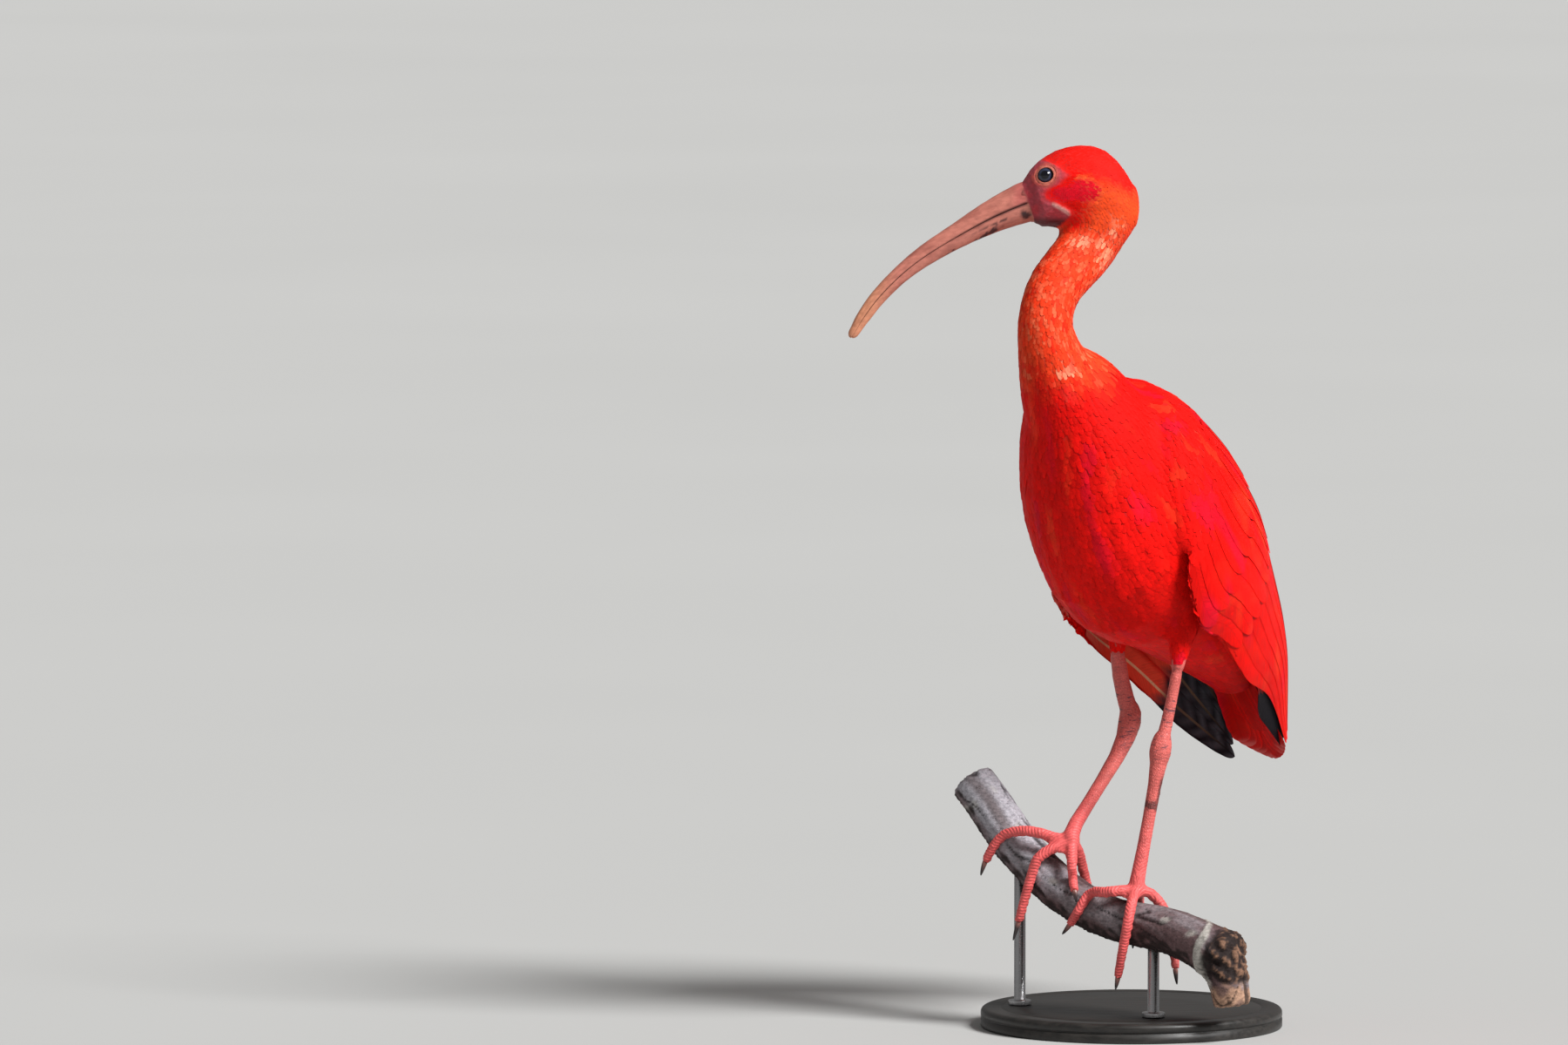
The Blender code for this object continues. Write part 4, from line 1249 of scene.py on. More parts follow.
def lay_on_wing(side, q_root, q_tip, start, end, widths, levels, beneath):
    """Feathers along the wing, on its outer face or beneath it."""
    count = len(q_root)
    ends = [wing_place(t, q, side) for t, q in ((start, q_root), (end, q_tip))]
    lengths = np.linalg.norm(ends[1] - ends[0], axis=1)
    s, along, across = blade_shapes(lengths, widths, PRIMARY_ROUNDING if beneath else BLADE_ROUNDING)
    t = start[:, None, None] + (end - start)[:, None, None] * along
    middle = q_root[:, None, None] + (q_tip - q_root)[:, None, None] * along
    step = 0.02
    reach = np.linalg.norm(wing_place(t, middle + step, side) - wing_place(t, middle - step, side), axis=-1)
    q = middle + WIDEST * np.tanh(across * 2 * step / reach / WIDEST)
    q = np.clip(q, -0.01, 1 + OVERHANG + beneath * TIP_OVERHANG[side] * ramp(t, *TIP_FROM))
    place, _, down, out = wing_frame(t, q, side)
    if beneath:
        place = under_wing(t, q, side)
    blades = Blades()
    height = levels[0] + (levels[1] - levels[0]) * ramp(s, 0, 0.9)[:, None]
    height = height + TILT * COLUMNS * ramp(s, 0.0, 0.4)[:, None] + shaft_ridge(s)
    stack = STACK * np.arange(count)[::-1, None, None] * ramp(s, 0.3, 1.0)[:, None]
    blades.upper = place + out * (height + stack * (not beneath))[..., None]
    lean = 0.10 * COLUMNS - (TILT * 2 / widths)[:, None, None]
    blades.normals = unit(out + down * lean[..., None])
    blades.s, blades.along, blades.across = s, along, across
    blades.gone = along * lengths[:, None, None]
    blades.t = t
    blades.flipped = side == "right"
    return blades


def red_blade_colours(blades, seed):
    """Scarlet feathers, each a little different, darker at their roots as painted shade, darker along the
    shaft, and with painted shade on their undersides.
    """
    count = len(blades.upper)
    places = blades.upper.reshape(-1, 3)
    region = np.full(len(places), REGIONS.index("wing"))
    colour = feather_colours(places, region).reshape(blades.upper.shape)
    own = 1 + 0.06 * rng.normal(size=(count, 1, 1, 1))
    # Painted shade: darker towards the root, under the feathers that overlap it.
    shade = 0.86 + 0.16 * ramp(blades.along, 0.0, 0.75)
    shade = shade * (1 - 0.10 * ON_SHAFT)
    colour = colour * own * shade[..., None]
    warm = rng.random((count, 1, 1)) ** 2
    colour = mix(colour, ORANGE, 0.35 * warm * ramp(lumps(places, 9, seed).reshape(shade.shape), -0.2, 1.0))
    # Painted shade: the undersides take the same colour, darkened.
    blades.colours, blades.beneath = colour, colour * 0.7
    return blades


PRIMARIES = 5
PRIMARY_WIDTH, PRIMARY_ROUNDING = 24.0, 1.7
PRIMARY_EDGE = {"left": 1.12, "right": 0.93}  # where the outermost one ends, across the wing
# The primaries' coral lining, brighter than its own colour as painted light for the light that shines through
# the vanes.
PRIMARY_LINING_BACKLIT = (1.0, 0.095, 0.050)
SHEEN_PITCH = 11.0  # from one grey bar on the black to the next
BLACK_FROM = 0.775  # how far along the wing the primaries turn black


def primaries(side):
    """The long flight feathers under the others: red, with black ends and ivory shafts beneath, a coral
    lining brightened as painted light, and painted grey sheen on the black.
    """
    share = np.linspace(0, 1, PRIMARIES)
    q_root = 0.25 + 0.72 * share
    q_tip = 0.37 + (PRIMARY_EDGE[side] - 0.37) * share
    start = 0.30 + 0.16 * share
    end = 1.0 - 0.05 * (1 - share)
    blades = lay_on_wing(side, q_root, q_tip, start, end, np.full(PRIMARIES, PRIMARY_WIDTH), (0, 0), True)
    red_blade_colours(blades, 31)
    places = blades.upper.reshape(-1, 3)
    wave = lumps(places, 6, 32).reshape(blades.t.shape)
    black = ramp(blades.t + 0.012 * wave, BLACK_FROM - 0.012, BLACK_FROM + 0.012)
    swept = blades.gone + SWEEP * np.abs(blades.across)
    # Painted sheen: grey bars of highlight across the black undersides.
    sheen = 0.5 + 0.5 * np.sin(swept * 2 * math.pi / SHEEN_PITCH + 5 * share[:, None, None])
    grey = mix(BLACK, SHEEN_GREY, 0.8 * sheen * (1 - ON_SHAFT))
    blades.colours = mix(blades.colours, BLACK, black)
    # Painted light: the bright lining stands for light shining through the vanes.
    lining = mix(PRIMARY_LINING_BACKLIT, LINING, 0.7 * ramp(blades.t, 0.56, 0.46))
    shaft = ON_SHAFT * ramp(blades.along, 0.97, 0.75)
    blades.beneath = mix(mix(lining, grey, black), IVORY, shaft * (1 - 0.85 * black))
    return blades


def joined_blades(sets):
    """One set of feathers from several that lie on the same side."""
    blades = Blades()
    for name in ("upper", "normals", "across", "gone", "colours", "beneath"):
        setattr(blades, name, np.concatenate([getattr(one, name) for one in sets]))
    blades.s, blades.flipped = sets[0].s, sets[0].flipped
    return blades


# Rows of the tail: how many, width in mm, where they begin and end along it, the level of the middle one,
# the drop to each next one, and the gap between their middles at the tip.
TAIL_ROWS = {
    "rectrices": (12, 15.0, (0.10, 1.0), 0.6, -0.30, 2.9),
    "upper_coverts": (7, 11.0, (0.0, 0.52), 2.4, -0.45, 4.6),
    "under_coverts": (9, 11.0, (0.0, 0.72), -3.6, 0.35, 3.9),
}
TAIL_LENGTH = 128.5
TAIL_DRIFT = 3.0  # how far the tail's end swings to the left
TAIL_ROUNDING = 0.012  # how much sooner the outer feathers end, most of all in the row that makes the tip
TAIL_LEAN = 0.012  # how much the shading leans outwards for each mm from the tail's middle
TAIL_TIP_PINK = (0.80, 0.16, 0.15)


def tail_blades(name):
    """A row of tail feathers, fanned a little, the middle one on top."""
    count, width, (start, end), level, drop, gap = TAIL_ROWS[name]
    place = np.arange(count) - (count - 1) / 2
    order = np.abs(place)
    lengths = np.full(count, TAIL_LENGTH * (end - start))
    s, along, across = blade_shapes(lengths, np.full(count, width), BLADE_ROUNDING)
    finish = end - TAIL_ROUNDING * order**1.6 * end**3
    t = start + (finish[:, None, None] - start) * along
    u, z = np.moveaxis(smooth(TAIL, t), -1, 0)
    samples = np.linspace(0, 1, 50)
    ways = unit(np.gradient(smooth(TAIL, samples), axis=0))
    way_u, way_z = (np.interp(t, samples, column) for column in ways.T)
    v = place[:, None, None] * gap * (0.35 + 0.65 * along) + across + TAIL_DRIFT * along**2
    height = level * (1 - 0.55 * along) + drop * order[:, None, None] + shaft_ridge(s)
    height = height - 0.010 * v**2 * (1 if level > 0 else 0.6)
    # The tail's upward way is across the way it runs.
    flip = np.where(way_u < 0, -1.0, 1.0)
    up_u, up_z = -way_z * flip, way_u * flip
    blades = Blades()
    blades.upper = body(u + up_u * height, v, z + up_z * height)
    blades.normals = unit(body(up_u, TAIL_LEAN * v, up_z) - body(0, 0, 0))
    blades.s, blades.along, blades.across = s, along, across
    blades.gone = along * lengths[:, None, None]
    blades.flipped = False
    red_blade_colours(blades, 33)
    tips = (end == 1.0) * ramp(along + 0.02 * rng.normal(size=(count, 1, 1)), 0.93, 1.0)
    blades.colours = mix(blades.colours, TAIL_TIP_PINK, 0.7 * tips)
    blades.beneath = mix(blades.beneath, TAIL_TIP_PINK, 0.8 * tips)
    return blades


# Bill, eyes, claws

BILL_TIPS = {"bill_upper": 5.0, "bill_lower": 4.5}  # length of each rounded tip
BILL_PINK, BILL_BROWN, BILL_DARK = (0.52, 0.175, 0.130), (0.34, 0.100, 0.075), (0.040, 0.014, 0.016)
BILL_TIP = (0.62, 0.25, 0.14)
BILL_ROWS, BILL_ARC, BILL_FLAT = 110, 25, 9
MOUTH_GAP = 0.15  # from the bill's middle to each mandible's flat side
GROOVES = (math.radians(34), math.radians(146))  # the nasal grooves' places round the upper mandible
JAW_SPOT = (37.6, -13.8)  # ahead and above, on the lower mandible
DARK_HORN, PALE_HORN = (0.030, 0.022, 0.022), (0.33, 0.13, 0.11)


def bill_spine(rows):
    """Centres and radii along the bill, and the ways along and up at each."""
    table = smooth(BILL, np.linspace(0, 1, rows))
    places = head(table[:, 0], table[:, 1])
    ways = unit(np.gradient(places, axis=0))
    across = head(0, 0, 1) - head(0, 0)
    up = np.cross(across, ways)
    return places, ways, up * np.sign(up[:, 2:3]), across, table[:, 2], table[:, 3]


def mandible_radius(upper, s, angle):
    """The radius round each ring, as a part of the bill's own: nasal grooves above, one groove below."""
    radius = np.ones((len(s), len(angle)))
    from_top = angle - math.pi / 2
    if not upper:
        return radius - 0.05 * ramp(s, 0.05, 0.2)[:, None] * np.exp(-((from_top / 0.14) ** 2))
    grooves = sum(np.exp(-(((angle - groove) / 0.13) ** 2)) for groove in GROOVES)
    nostril = ramp(s, 0.075, 0.09) * ramp(s, 0.15, 0.135)
    radius = radius - (0.075 * ramp(s, 0.95, 0.8) + 0.10 * nostril)[:, None] * grooves
    return radius + 0.035 * np.exp(-((from_top / 0.25) ** 2))


def mandible(name):
    """One half of the bill: rings of an arc and a flat, then a rounded tip."""
    upper = name == "bill_upper"
    places, ways, up, across, deep, wide = bill_spine(BILL_ROWS)
    bend = np.linspace(0, math.pi / 2, 10)[1:-1]
    shift, scale = np.sin(bend) * BILL_TIPS[name], np.cos(bend) ** 0.8
    places = np.concatenate([places, places[-1] + ways[-1] * shift[:, None]])
    up = np.concatenate([up, np.repeat(up[-1:], len(bend), 0)]) * (1 if upper else -1)
    deep, wide = (np.concatenate([radius, radius[-1] * scale])[:, None] for radius in (deep, wide))
    s = np.linspace(0, 1, len(places))
    angle = np.linspace(0, math.pi, BILL_ARC)
    radius = mandible_radius(upper, s, angle)
    gap = (0.02 + (MOUTH_GAP - 0.02) * ramp(s, 0.93, 0.75))[:, None]
    flat = np.linspace(-1, 1, BILL_FLAT + 2)[1:-1]
    sideways = np.concatenate([np.cos(angle) * radius * wide, flat * wide * 0.985], 1)
    rise = np.concatenate([gap + np.sin(angle) * radius * (deep - gap), np.repeat(gap, BILL_FLAT, 1)], 1)
    points = places[:, None] + across * sideways[..., None] + up[:, None] * rise[..., None]
    outward = unit(points - places[:, None]).reshape(-1, 3)
    points = points.reshape(-1, 3)
    points = points + 0.05 * lumps(points, 2.4, 41)[:, None] * outward
    faces, _, _ = tube(len(places), BILL_ARC + BILL_FLAT)
    mesh = new_mesh(name + "_horn", points, faces if upper else faces[:, ::-1])
    add_paint(mesh, "Paint", bill_colours(points))
    add_piece(mesh, MATERIALS["bill"], "bill", [name])


def mouth_level(ahead):
    """How high the line between the mandibles runs."""
    spine = smooth(BILL, np.linspace(0, 1, 120))
    return np.interp(ahead, spine[:, 0], spine[:, 1])


def bill_colours(points):
    """Pinkish horn with browner flecks, a dark line between its halves, and dark blots below near the jaw."""
    ahead, above, _ = in_head(points)
    below = mouth_level(ahead) - above
    along = np.stack([ahead * 0.12, above + 0.5 * ahead, points[:, 1]], -1)
    flecks = lumps(along, 2.2, 42) + 0.5 * lumps(points, 5, 43)
    colour = mix(BILL_PINK, BILL_BROWN, 0.7 * ramp(flecks, -0.3, 1.5))
    colour = mix(colour, BILL_TIP, ramp(ahead, 112, 136))
    colour = mix(colour, mix(FACE, BILL_PINK, 0.45), 0.7 * ramp(ahead, 50, 38) * (below < 0))
    seam = ramp(np.abs(below), 0.95, 0.4) * ramp(ahead, 36.0, 37.5)
    seam_strength = 0.3 * ramp(ahead, 142, 118) + 0.6 * ramp(ahead, 90, 55)
    colour = mix(colour, BILL_DARK, seam * seam_strength)
    spot = np.hypot(ahead - JAW_SPOT[0], above - JAW_SPOT[1]) + 0.5 * lumps(points, 1.5, 44)
    colour = mix(colour, BILL_DARK, 0.95 * ramp(spot, 3.4, 2.1) * (below > 0))
    blots = ramp(lumps(along, 2.0, 45) + 0.5 * lumps(points, 2.2, 47), 0.15, 0.55)
    low = ramp(below, 3.2, 4.6) * blots * ramp(ahead, 41, 45) * ramp(ahead, 96, 84)
    colour = mix(colour, BILL_DARK, 0.92 * low)
    return colour * (1 + 0.06 * lumps(points, 1.3, 46))[:, None]


PUPIL, IRIS, LIMBUS = (0.003, 0.003, 0.006), (0.036, 0.045, 0.085), (0.010, 0.010, 0.018)
PUPIL_ANGLE, IRIS_ANGLE, CORNEA_ANGLE = 0.50, 0.84, 0.66
CORNEA_RISE = 0.35
EYE_ROWS, EYE_AROUND = 44, 40


def eyeball(way, node):
    """A wet eye with a bulging cornea, its pupil and finely rayed iris painted on it."""
    centre, out, fore, up = eye_frame(way)
    theta = np.linspace(0.01, math.pi - 0.01, EYE_ROWS)[:, None]
    phi = np.arange(EYE_AROUND) * 2 * math.pi / EYE_AROUND * way
    radius = EYE_RADIUS + CORNEA_RISE * (1 - np.clip(theta / CORNEA_ANGLE, 0, 1) ** 2) ** 2
    ring = fore * np.cos(phi)[:, None] + up * np.sin(phi)[:, None]
    direction = out * np.cos(theta)[..., None] + ring * np.sin(theta)[..., None]
    points = (centre + direction * radius[..., None]).reshape(-1, 3)
    rays = 0.5 + 0.5 * np.sin(phi * 13) * np.sin(phi * 7 + 1)
    depth = np.broadcast_to(theta, (EYE_ROWS, EYE_AROUND))
    iris = mix(IRIS, LIMBUS, 0.5 * rays * np.ones((EYE_ROWS, 1)))
    colour = mix(PUPIL, iris, ramp(depth, PUPIL_ANGLE - 0.05, PUPIL_ANGLE + 0.05))
    colour = mix(colour, LIMBUS, ramp(depth, IRIS_ANGLE - 0.08, IRIS_ANGLE + 0.02))
    faces, _, _ = tube(EYE_ROWS, EYE_AROUND)
    handed = np.dot(np.cross(fore, up), out) * way
    mesh = new_mesh(node + "_ball", points, faces if handed < 0 else faces[:, ::-1])
    add_paint(mesh, "Paint", colour.reshape(-1, 3))
    add_piece(mesh, MATERIALS["eye"], "eye", [node])


def claw(node):
    """A claw with a rounded surface, paler at the toe."""
    points, faces = cad_mesh(node)
    toe_points, toe_faces = cad_mesh(node.replace("claw", "toe"))
    toe = BVHTree.FromPolygons(toe_points.tolist(), toe_faces.tolist())
    reach = np.array([toe.find_nearest(place)[3] for place in points.tolist()])
    mesh = new_mesh(node + "_horn", points, faces)
    add_paint(mesh, "Paint", mix(PALE_HORN, DARK_HORN, ramp(reach, 0.6, 4.5)))
    piece = add_piece(mesh, MATERIALS["claw"], "claw", [node])
    rounding = piece.modifiers.new("round", "SUBSURF")
    rounding.levels = rounding.render_levels = 2


# Branch and stand

BARK_RISE = 0.9
BARK_GREY, BARK_MAUVE, BARK_BROWN = (0.215, 0.180, 0.190), (0.125, 0.074, 0.076), (0.075, 0.040, 0.034)
BARK_PALE, BARK_CRACK, WOOD_PALE = (0.46, 0.44, 0.40), (0.014, 0.009, 0.009), (0.46, 0.34, 0.25)
# The darkest bark colour is painted shade: near black on the branch's underside and on the knob's left.
BARK_SHADE, WOOD_TAN, KNOB_BROWN = (0.022, 0.014, 0.013), (0.42, 0.25, 0.17), (0.20, 0.105, 0.065)
BARK_SILVER, SILVER_FROM = (0.42, 0.41, 0.45), (-38.0, -62.0)  # weathered colour, and the x it lies beyond
KNOB, HOLLOW = (62.0, 54.0), (44.0, 51.0)  # x and z of the broken end's middle and of the hollow beside it
CUT_FACE = 0.5  # how squarely the surface must face along the branch to count as its cut end
RING_PITCH, RING_BROWN = 1.7, (0.36, 0.24, 0.16)  # the year rings on it
BARK_VOXEL = 1.3


class Bark:
    """The branch's surface, with how much of a crack, the knob and so on there is at each of its places."""


def bark_shape():
    """Cracked bark that runs along the branch, with a broken knob, a hollow and a sawn end."""
    bark = Bark()
    points, bark.faces = remeshed(*cad_mesh("perch_branch"), BARK_VOXEL)
    axis, _ = perch_places(200)
    ways = unit(np.gradient(axis, axis=0))
    gone = np.concatenate([[0], np.cumsum(np.linalg.norm(np.diff(axis, axis=0), axis=1))])
    near = nearest_index(points, axis)
    gap = points - axis[near]
    past = (gap * ways[near]).sum(1)
    outward = unit(gap - ways[near] * past[:, None])
    normals, edges = normals_of(points, bark.faces), edges_of(bark.faces)
    for _ in range(3):
        points = averaged(points, edges)
    around, up, length = outward[:, 0] * 12, outward[:, 1] * 12 + outward[:, 2] * 4, gone[near] + past
    bark.grain = np.stack([around, up, length * 0.16], -1) + outward * 6
    bark.broad, bark.fine = lumps(bark.grain, 6, 51), lumps(bark.grain, 2.2, 52)
    bark.crack = ramp(np.abs(lumps(bark.grain, 5.5, 53)), 0.16, 0.02) * ramp(lumps(points, 22, 54), -0.5, 0.4)
    bark.ring_crack = ramp(np.abs(lumps(points, 9, 55)), 0.07, 0.01) * ramp(lumps(points, 30, 56), 0.0, 0.6)
    bark.cut = ramp(-(normals * ways[near]).sum(1), CUT_FACE, 0.9) * (near < 4)
    bark.from_axis = np.linalg.norm(gap, axis=1)
    x, z, crumbs, pitted = points[:, 0], points[:, 2], lumps(points, 3.0, 60), lumps(points, 1.5, 64)
    to_knob = np.hypot(x - KNOB[0], z - KNOB[1])
    bark.knob = ramp(to_knob + crumbs, 20, 17) * ramp(z, 36, 40)
    bark.rim = ramp(np.abs(to_knob - 24 - lumps(points, 5, 61)), 2.6, 1.4) * ramp(x, 48, 44)
    bark.hollow = ramp(np.hypot((x - HOLLOW[0]) / 5, (z - HOLLOW[1]) / 8) + 0.2 * crumbs, 1.15, 0.8)
    # How far the surface faces down: that underside is pitted, and painted near black as shade.
    bark.crust = ramp(-normals[:, 2] + 0.25 * crumbs, 0.15, 0.6)
    rise = BARK_RISE + 0.28 * bark.broad + 0.16 * bark.fine - 0.75 * bark.crack - 0.45 * bark.ring_crack
    rise = rise + 0.35 * pitted * bark.crust + (0.6 * crumbs + 0.35 * pitted) * bark.knob
    rise = rise + 0.6 * bark.rim - 2.4 * bark.hollow
    bark.x, bark.z, bark.crumbs, bark.pitted, bark.normals = x, z, crumbs, pitted, normals
    bark.points = points + normals * (rise * (1 - bark.cut))[:, None]
    return bark


def bark_colours(bark):
    """Grey to mauve bark, mottled and painted lighter on top, with dark cracks, painted shade underneath, a
    brown knob painted darker to its left as shade, and pale sawn wood.
    """
    points, x, upwards = bark.points, bark.x, bark.normals[:, 2]
    # Painted light: the bark turns greyer and lighter where it faces up, as well as with its mottled
    # weathering.
    weathered_and_lit = lumps(points, 16, 57) + 0.4 * bark.fine + upwards
    silver = ramp(x + 8 * lumps(points, 14, 65), *SILVER_FROM) * ramp(upwards, -0.5, 0.1)
    stub = ramp(bark.z + 2 * bark.crumbs, 38, 34) * (x > 30)
    stub_wood = mix(WOOD_TAN, BARK_MAUVE, 0.7 * ramp(lumps(points, 5, 63), 0.2, 1.0))
    # Painted shade: the knob darkens towards its left, away from the light, and also in its crumbs and pits.
    shade_and_crumbs = 0.9 * ramp(x, 68, 52) - bark.crumbs - 0.7 * bark.pitted
    dark = np.maximum(np.maximum(bark.crack, 0.8 * bark.ring_crack), bark.hollow)
    rings = 0.5 + 0.5 * np.sin(bark.from_axis * 2 * math.pi / RING_PITCH + 0.8 * lumps(points, 5, 62))
    colour = mix(BARK_MAUVE, BARK_GREY, ramp(weathered_and_lit, -0.5, 1.3))
    for coat, share in (
        (BARK_SILVER, 0.85 * silver),
        (BARK_BROWN, 0.7 * ramp(lumps(bark.grain, 9, 58), 0.3, 1.2)),
        (BARK_PALE, 0.6 * ramp(lumps(points, 10, 59) + 0.5 * bark.broad, 1.0, 1.6)),
        # Painted shade: the underside turns near black.
        (BARK_SHADE, 0.92 * bark.crust),
        (stub_wood, stub),
        (mix(KNOB_BROWN, BARK_SHADE, ramp(shade_and_crumbs, -0.5, 0.5)), bark.knob),
        (BARK_PALE, 0.9 * bark.rim),
        (BARK_CRACK, 0.9 * dark),
        (mix(WOOD_PALE, RING_BROWN, 0.6 * rings), bark.cut),
    ):
        colour = mix(colour, coat, share)
    return colour


def branch():
    bark = bark_shape()
    triangles = np.concatenate([bark.faces[:, [0, 1, 2]], bark.faces[:, [0, 2, 3]]])
    mesh = new_mesh("branch_bark", bark.points, triangles)
    add_paint(mesh, "Paint", bark_colours(bark))
    add_piece(mesh, MATERIALS["bark"], "bark", ["perch_branch"])


def turned(name, profile, centre, sides, material, slot, node):
    """A closed turned solid from (radius, height) pairs, bottom to top."""
    radius, height = np.array(profile, float).T
    angle = np.arange(sides) * 2 * math.pi / sides
    x = centre[0] + radius[:, None] * np.cos(angle)
    y = centre[1] + radius[:, None] * np.sin(angle)
    points = np.stack([x, y, np.broadcast_to(height[:, None], x.shape)], -1).reshape(-1, 3)
    faces, _, _ = tube(len(profile), sides)
    add_piece(new_mesh(name, points, faces), MATERIALS[material], slot, [node])


def corner(radius, height, size, start):
    """A rounded corner of a profile, from its middle, its size and the angle it starts at."""
    turns = np.radians(start + np.linspace(0, 90, 9))
    return [(radius + size * math.cos(a), height + size * math.sin(a)) for a in turns]


def stand():
    """The turned base, with grooves round its side and on its top, and two rods with collars."""
    _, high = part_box("stand_base")
    radius, top = high[0] / MM, high[2] / MM
    middle, inset = top * 0.45, radius - 12.0  # where the grooves on the side and on the top begin
    profile = [(0.5, 0), (radius - 8, 0)] + corner(radius - 1.2, 1.2, 1.2, -90)
    profile += [(radius, middle), (radius - 1.0, middle + 0.5), (radius - 1.0, middle + 1.3)]
    profile += [(radius, middle + 1.8)] + corner(radius - 3.0, top - 3.0, 3.0, 0)
    profile += [(inset, top), (inset - 0.4, top - 0.35), (inset - 1.2, top - 0.35), (inset - 1.6, top)]
    profile += [(radius * 0.5, top), (0.5, top)]
    turned("stand_base_turned", profile, (0, 0), 144, "lacquer", "stand_base", "stand_base")
    for name in ("stand_rod_front", "stand_rod_rear"):
        low, high = (np.array(place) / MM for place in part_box(name))
        x, y, _ = (low + high) / 2
        rod, foot = (high[0] - low[0]) / 2, low[2]
        profile = [(0.2, foot)] + corner(rod * 2 - 0.4, foot + 0.4, 0.4, -90)
        profile += corner(rod * 2 - 0.6, foot + 2.4, 0.6, 0) + [(rod + 0.5, foot + 3.0), (rod, foot + 3.3)]
        profile += [(rod, high[2] - 0.3), (rod - 0.3, high[2]), (0.2, high[2])]
        turned(name + "_steel", profile, (x, y), 48, "steel", "stand_rod", name)


# Materials


class Shader:
    """A node material: each call adds a node and gives its output. Lengths are in mm."""

    def __init__(self, name, settings):
        self.material = bpy.data.materials.new(name)
        self.material.use_nodes = True
        self.tree = self.material.node_tree
        self.surface = self.tree.nodes["Principled BSDF"]
        for socket, value in settings.items():
            self.surface.inputs[socket].default_value = value

    def node(self, kind, values=(), **settings):
        node = self.tree.nodes.new("ShaderNode" + kind)
        for key, value in settings.items():
            setattr(node, key, value)
        for socket, value in dict(values).items():
            self.put(value, node.inputs[socket])
        return node

    def put(self, value, socket):
        if isinstance(value, bpy.types.NodeSocket):
            self.tree.links.new(value, socket)
        else:
            socket.default_value = value

    def math(self, operation, *values):
        return self.node("Math", enumerate(values), operation=operation).outputs[0]

    def times(self, *values):
        """One number times another, with a third added if there is one."""
        return self.math("MULTIPLY" if len(values) == 2 else "MULTIPLY_ADD", *values)

    def painted(self, noise, low, high, dark, light):
        """The mesh's own paint, from dark to light as the noise goes from low to high."""
        paint = self.node("Attribute", attribute_name="Paint").outputs["Color"]
        return self.lit(paint, self.between(noise, low, high, dark, light))

    def parts(self, name):
        """Red, green, blue and alpha of an attribute."""
        attribute = self.node("Attribute", attribute_name=name)
        split = self.node("SeparateColor", {0: attribute.outputs["Color"]})
        return [*split.outputs, attribute.outputs["Alpha"]]

    def place(self, stretch=(1, 1, 1)):
        """The place on the object, stretched and in mm."""
        at = self.node("TexCoord").outputs["Object"]
        scale = [1000 * value for value in stretch]
        return self.node("VectorMath", {0: at, 1: scale}, operation="MULTIPLY").outputs[0]

    def noise(self, size, where=None, detail=3.0, roughness=0.55):
        values = {"Vector": where or self.place(), "Scale": 1 / size}
        return self.node("TexNoise", {**values, "Detail": detail, "Roughness": roughness}).outputs[0]

    def cells(self, size, where=None, feature="DISTANCE_TO_EDGE"):
        values = {"Vector": where or self.place(), "Scale": 1 / size}
        return self.node("TexVoronoi", values, feature=feature).outputs["Distance"]

    def between(self, value, low, high, to_low=0.0, to_high=1.0):
        """The value's place between low and high, smoothed, as a number between two others."""
        values = {0: value, 1: low, 2: high, 3: to_low, 4: to_high}
        return self.node("MapRange", values, interpolation_type="SMOOTHSTEP").outputs[0]

    def blend(self, share, a, b, mode="MIX"):
        node = self.node("Mix", data_type="RGBA", blend_type=mode)
        for value, i in ((share, 0), (a, 6), (b, 7)):
            self.put((*value, 1.0) if isinstance(value, tuple) else value, node.inputs[i])
        return node.outputs[2]

    def lit(self, colour, strength):
        """The colour made lighter or darker by a number."""
        return self.node("VectorMath", {0: colour, "Scale": strength}, operation="SCALE").outputs[0]

    def bump(self, height, depth, strength=1.0):
        values = {"Height": height, "Distance": depth * MM, "Strength": strength}
        self.tree.links.new(self.node("Bump", values).outputs[0], self.surface.inputs["Normal"])

    def done(self, colour, roughness=None):
        self.put(colour, self.surface.inputs["Base Color"])
        if roughness is not None:
            self.put(roughness, self.surface.inputs["Roughness"])
        return self.material


def feather_material(name, pitch, gloss, bump):
    """Painted vanes with fine barbs that run outwards and tipwards from the shaft."""
    shader = Shader(name, {"Specular IOR Level": 0.07})
    where = shader.node("UVMap", uv_map="FeatherUV").outputs[0]
    split = shader.node("SeparateXYZ", {0: where}).outputs
    barb = shader.math("SUBTRACT", split[0], shader.math("ABSOLUTE", split[1]))
    wave = shader.math("SINE", shader.times(barb, 2 * math.pi / pitch))
    clump = shader.node("CombineXYZ", {0: shader.times(barb, 0.8), 1: shader.times(split[1], 0.12)})
    clumps = shader.noise(1.0, clump.outputs[0], 2.0)
    shade = shader.times(wave, 0.05, shader.between(clumps, 0.25, 0.75, 0.86, 1.12))
    paint = shader.node("Attribute", attribute_name="Paint").outputs["Color"]
    shader.bump(shader.times(wave, 0.35, clumps), bump)
    return shader.done(shader.lit(paint, shade), shader.between(clumps, 0.2, 0.8, gloss, gloss + 0.15))


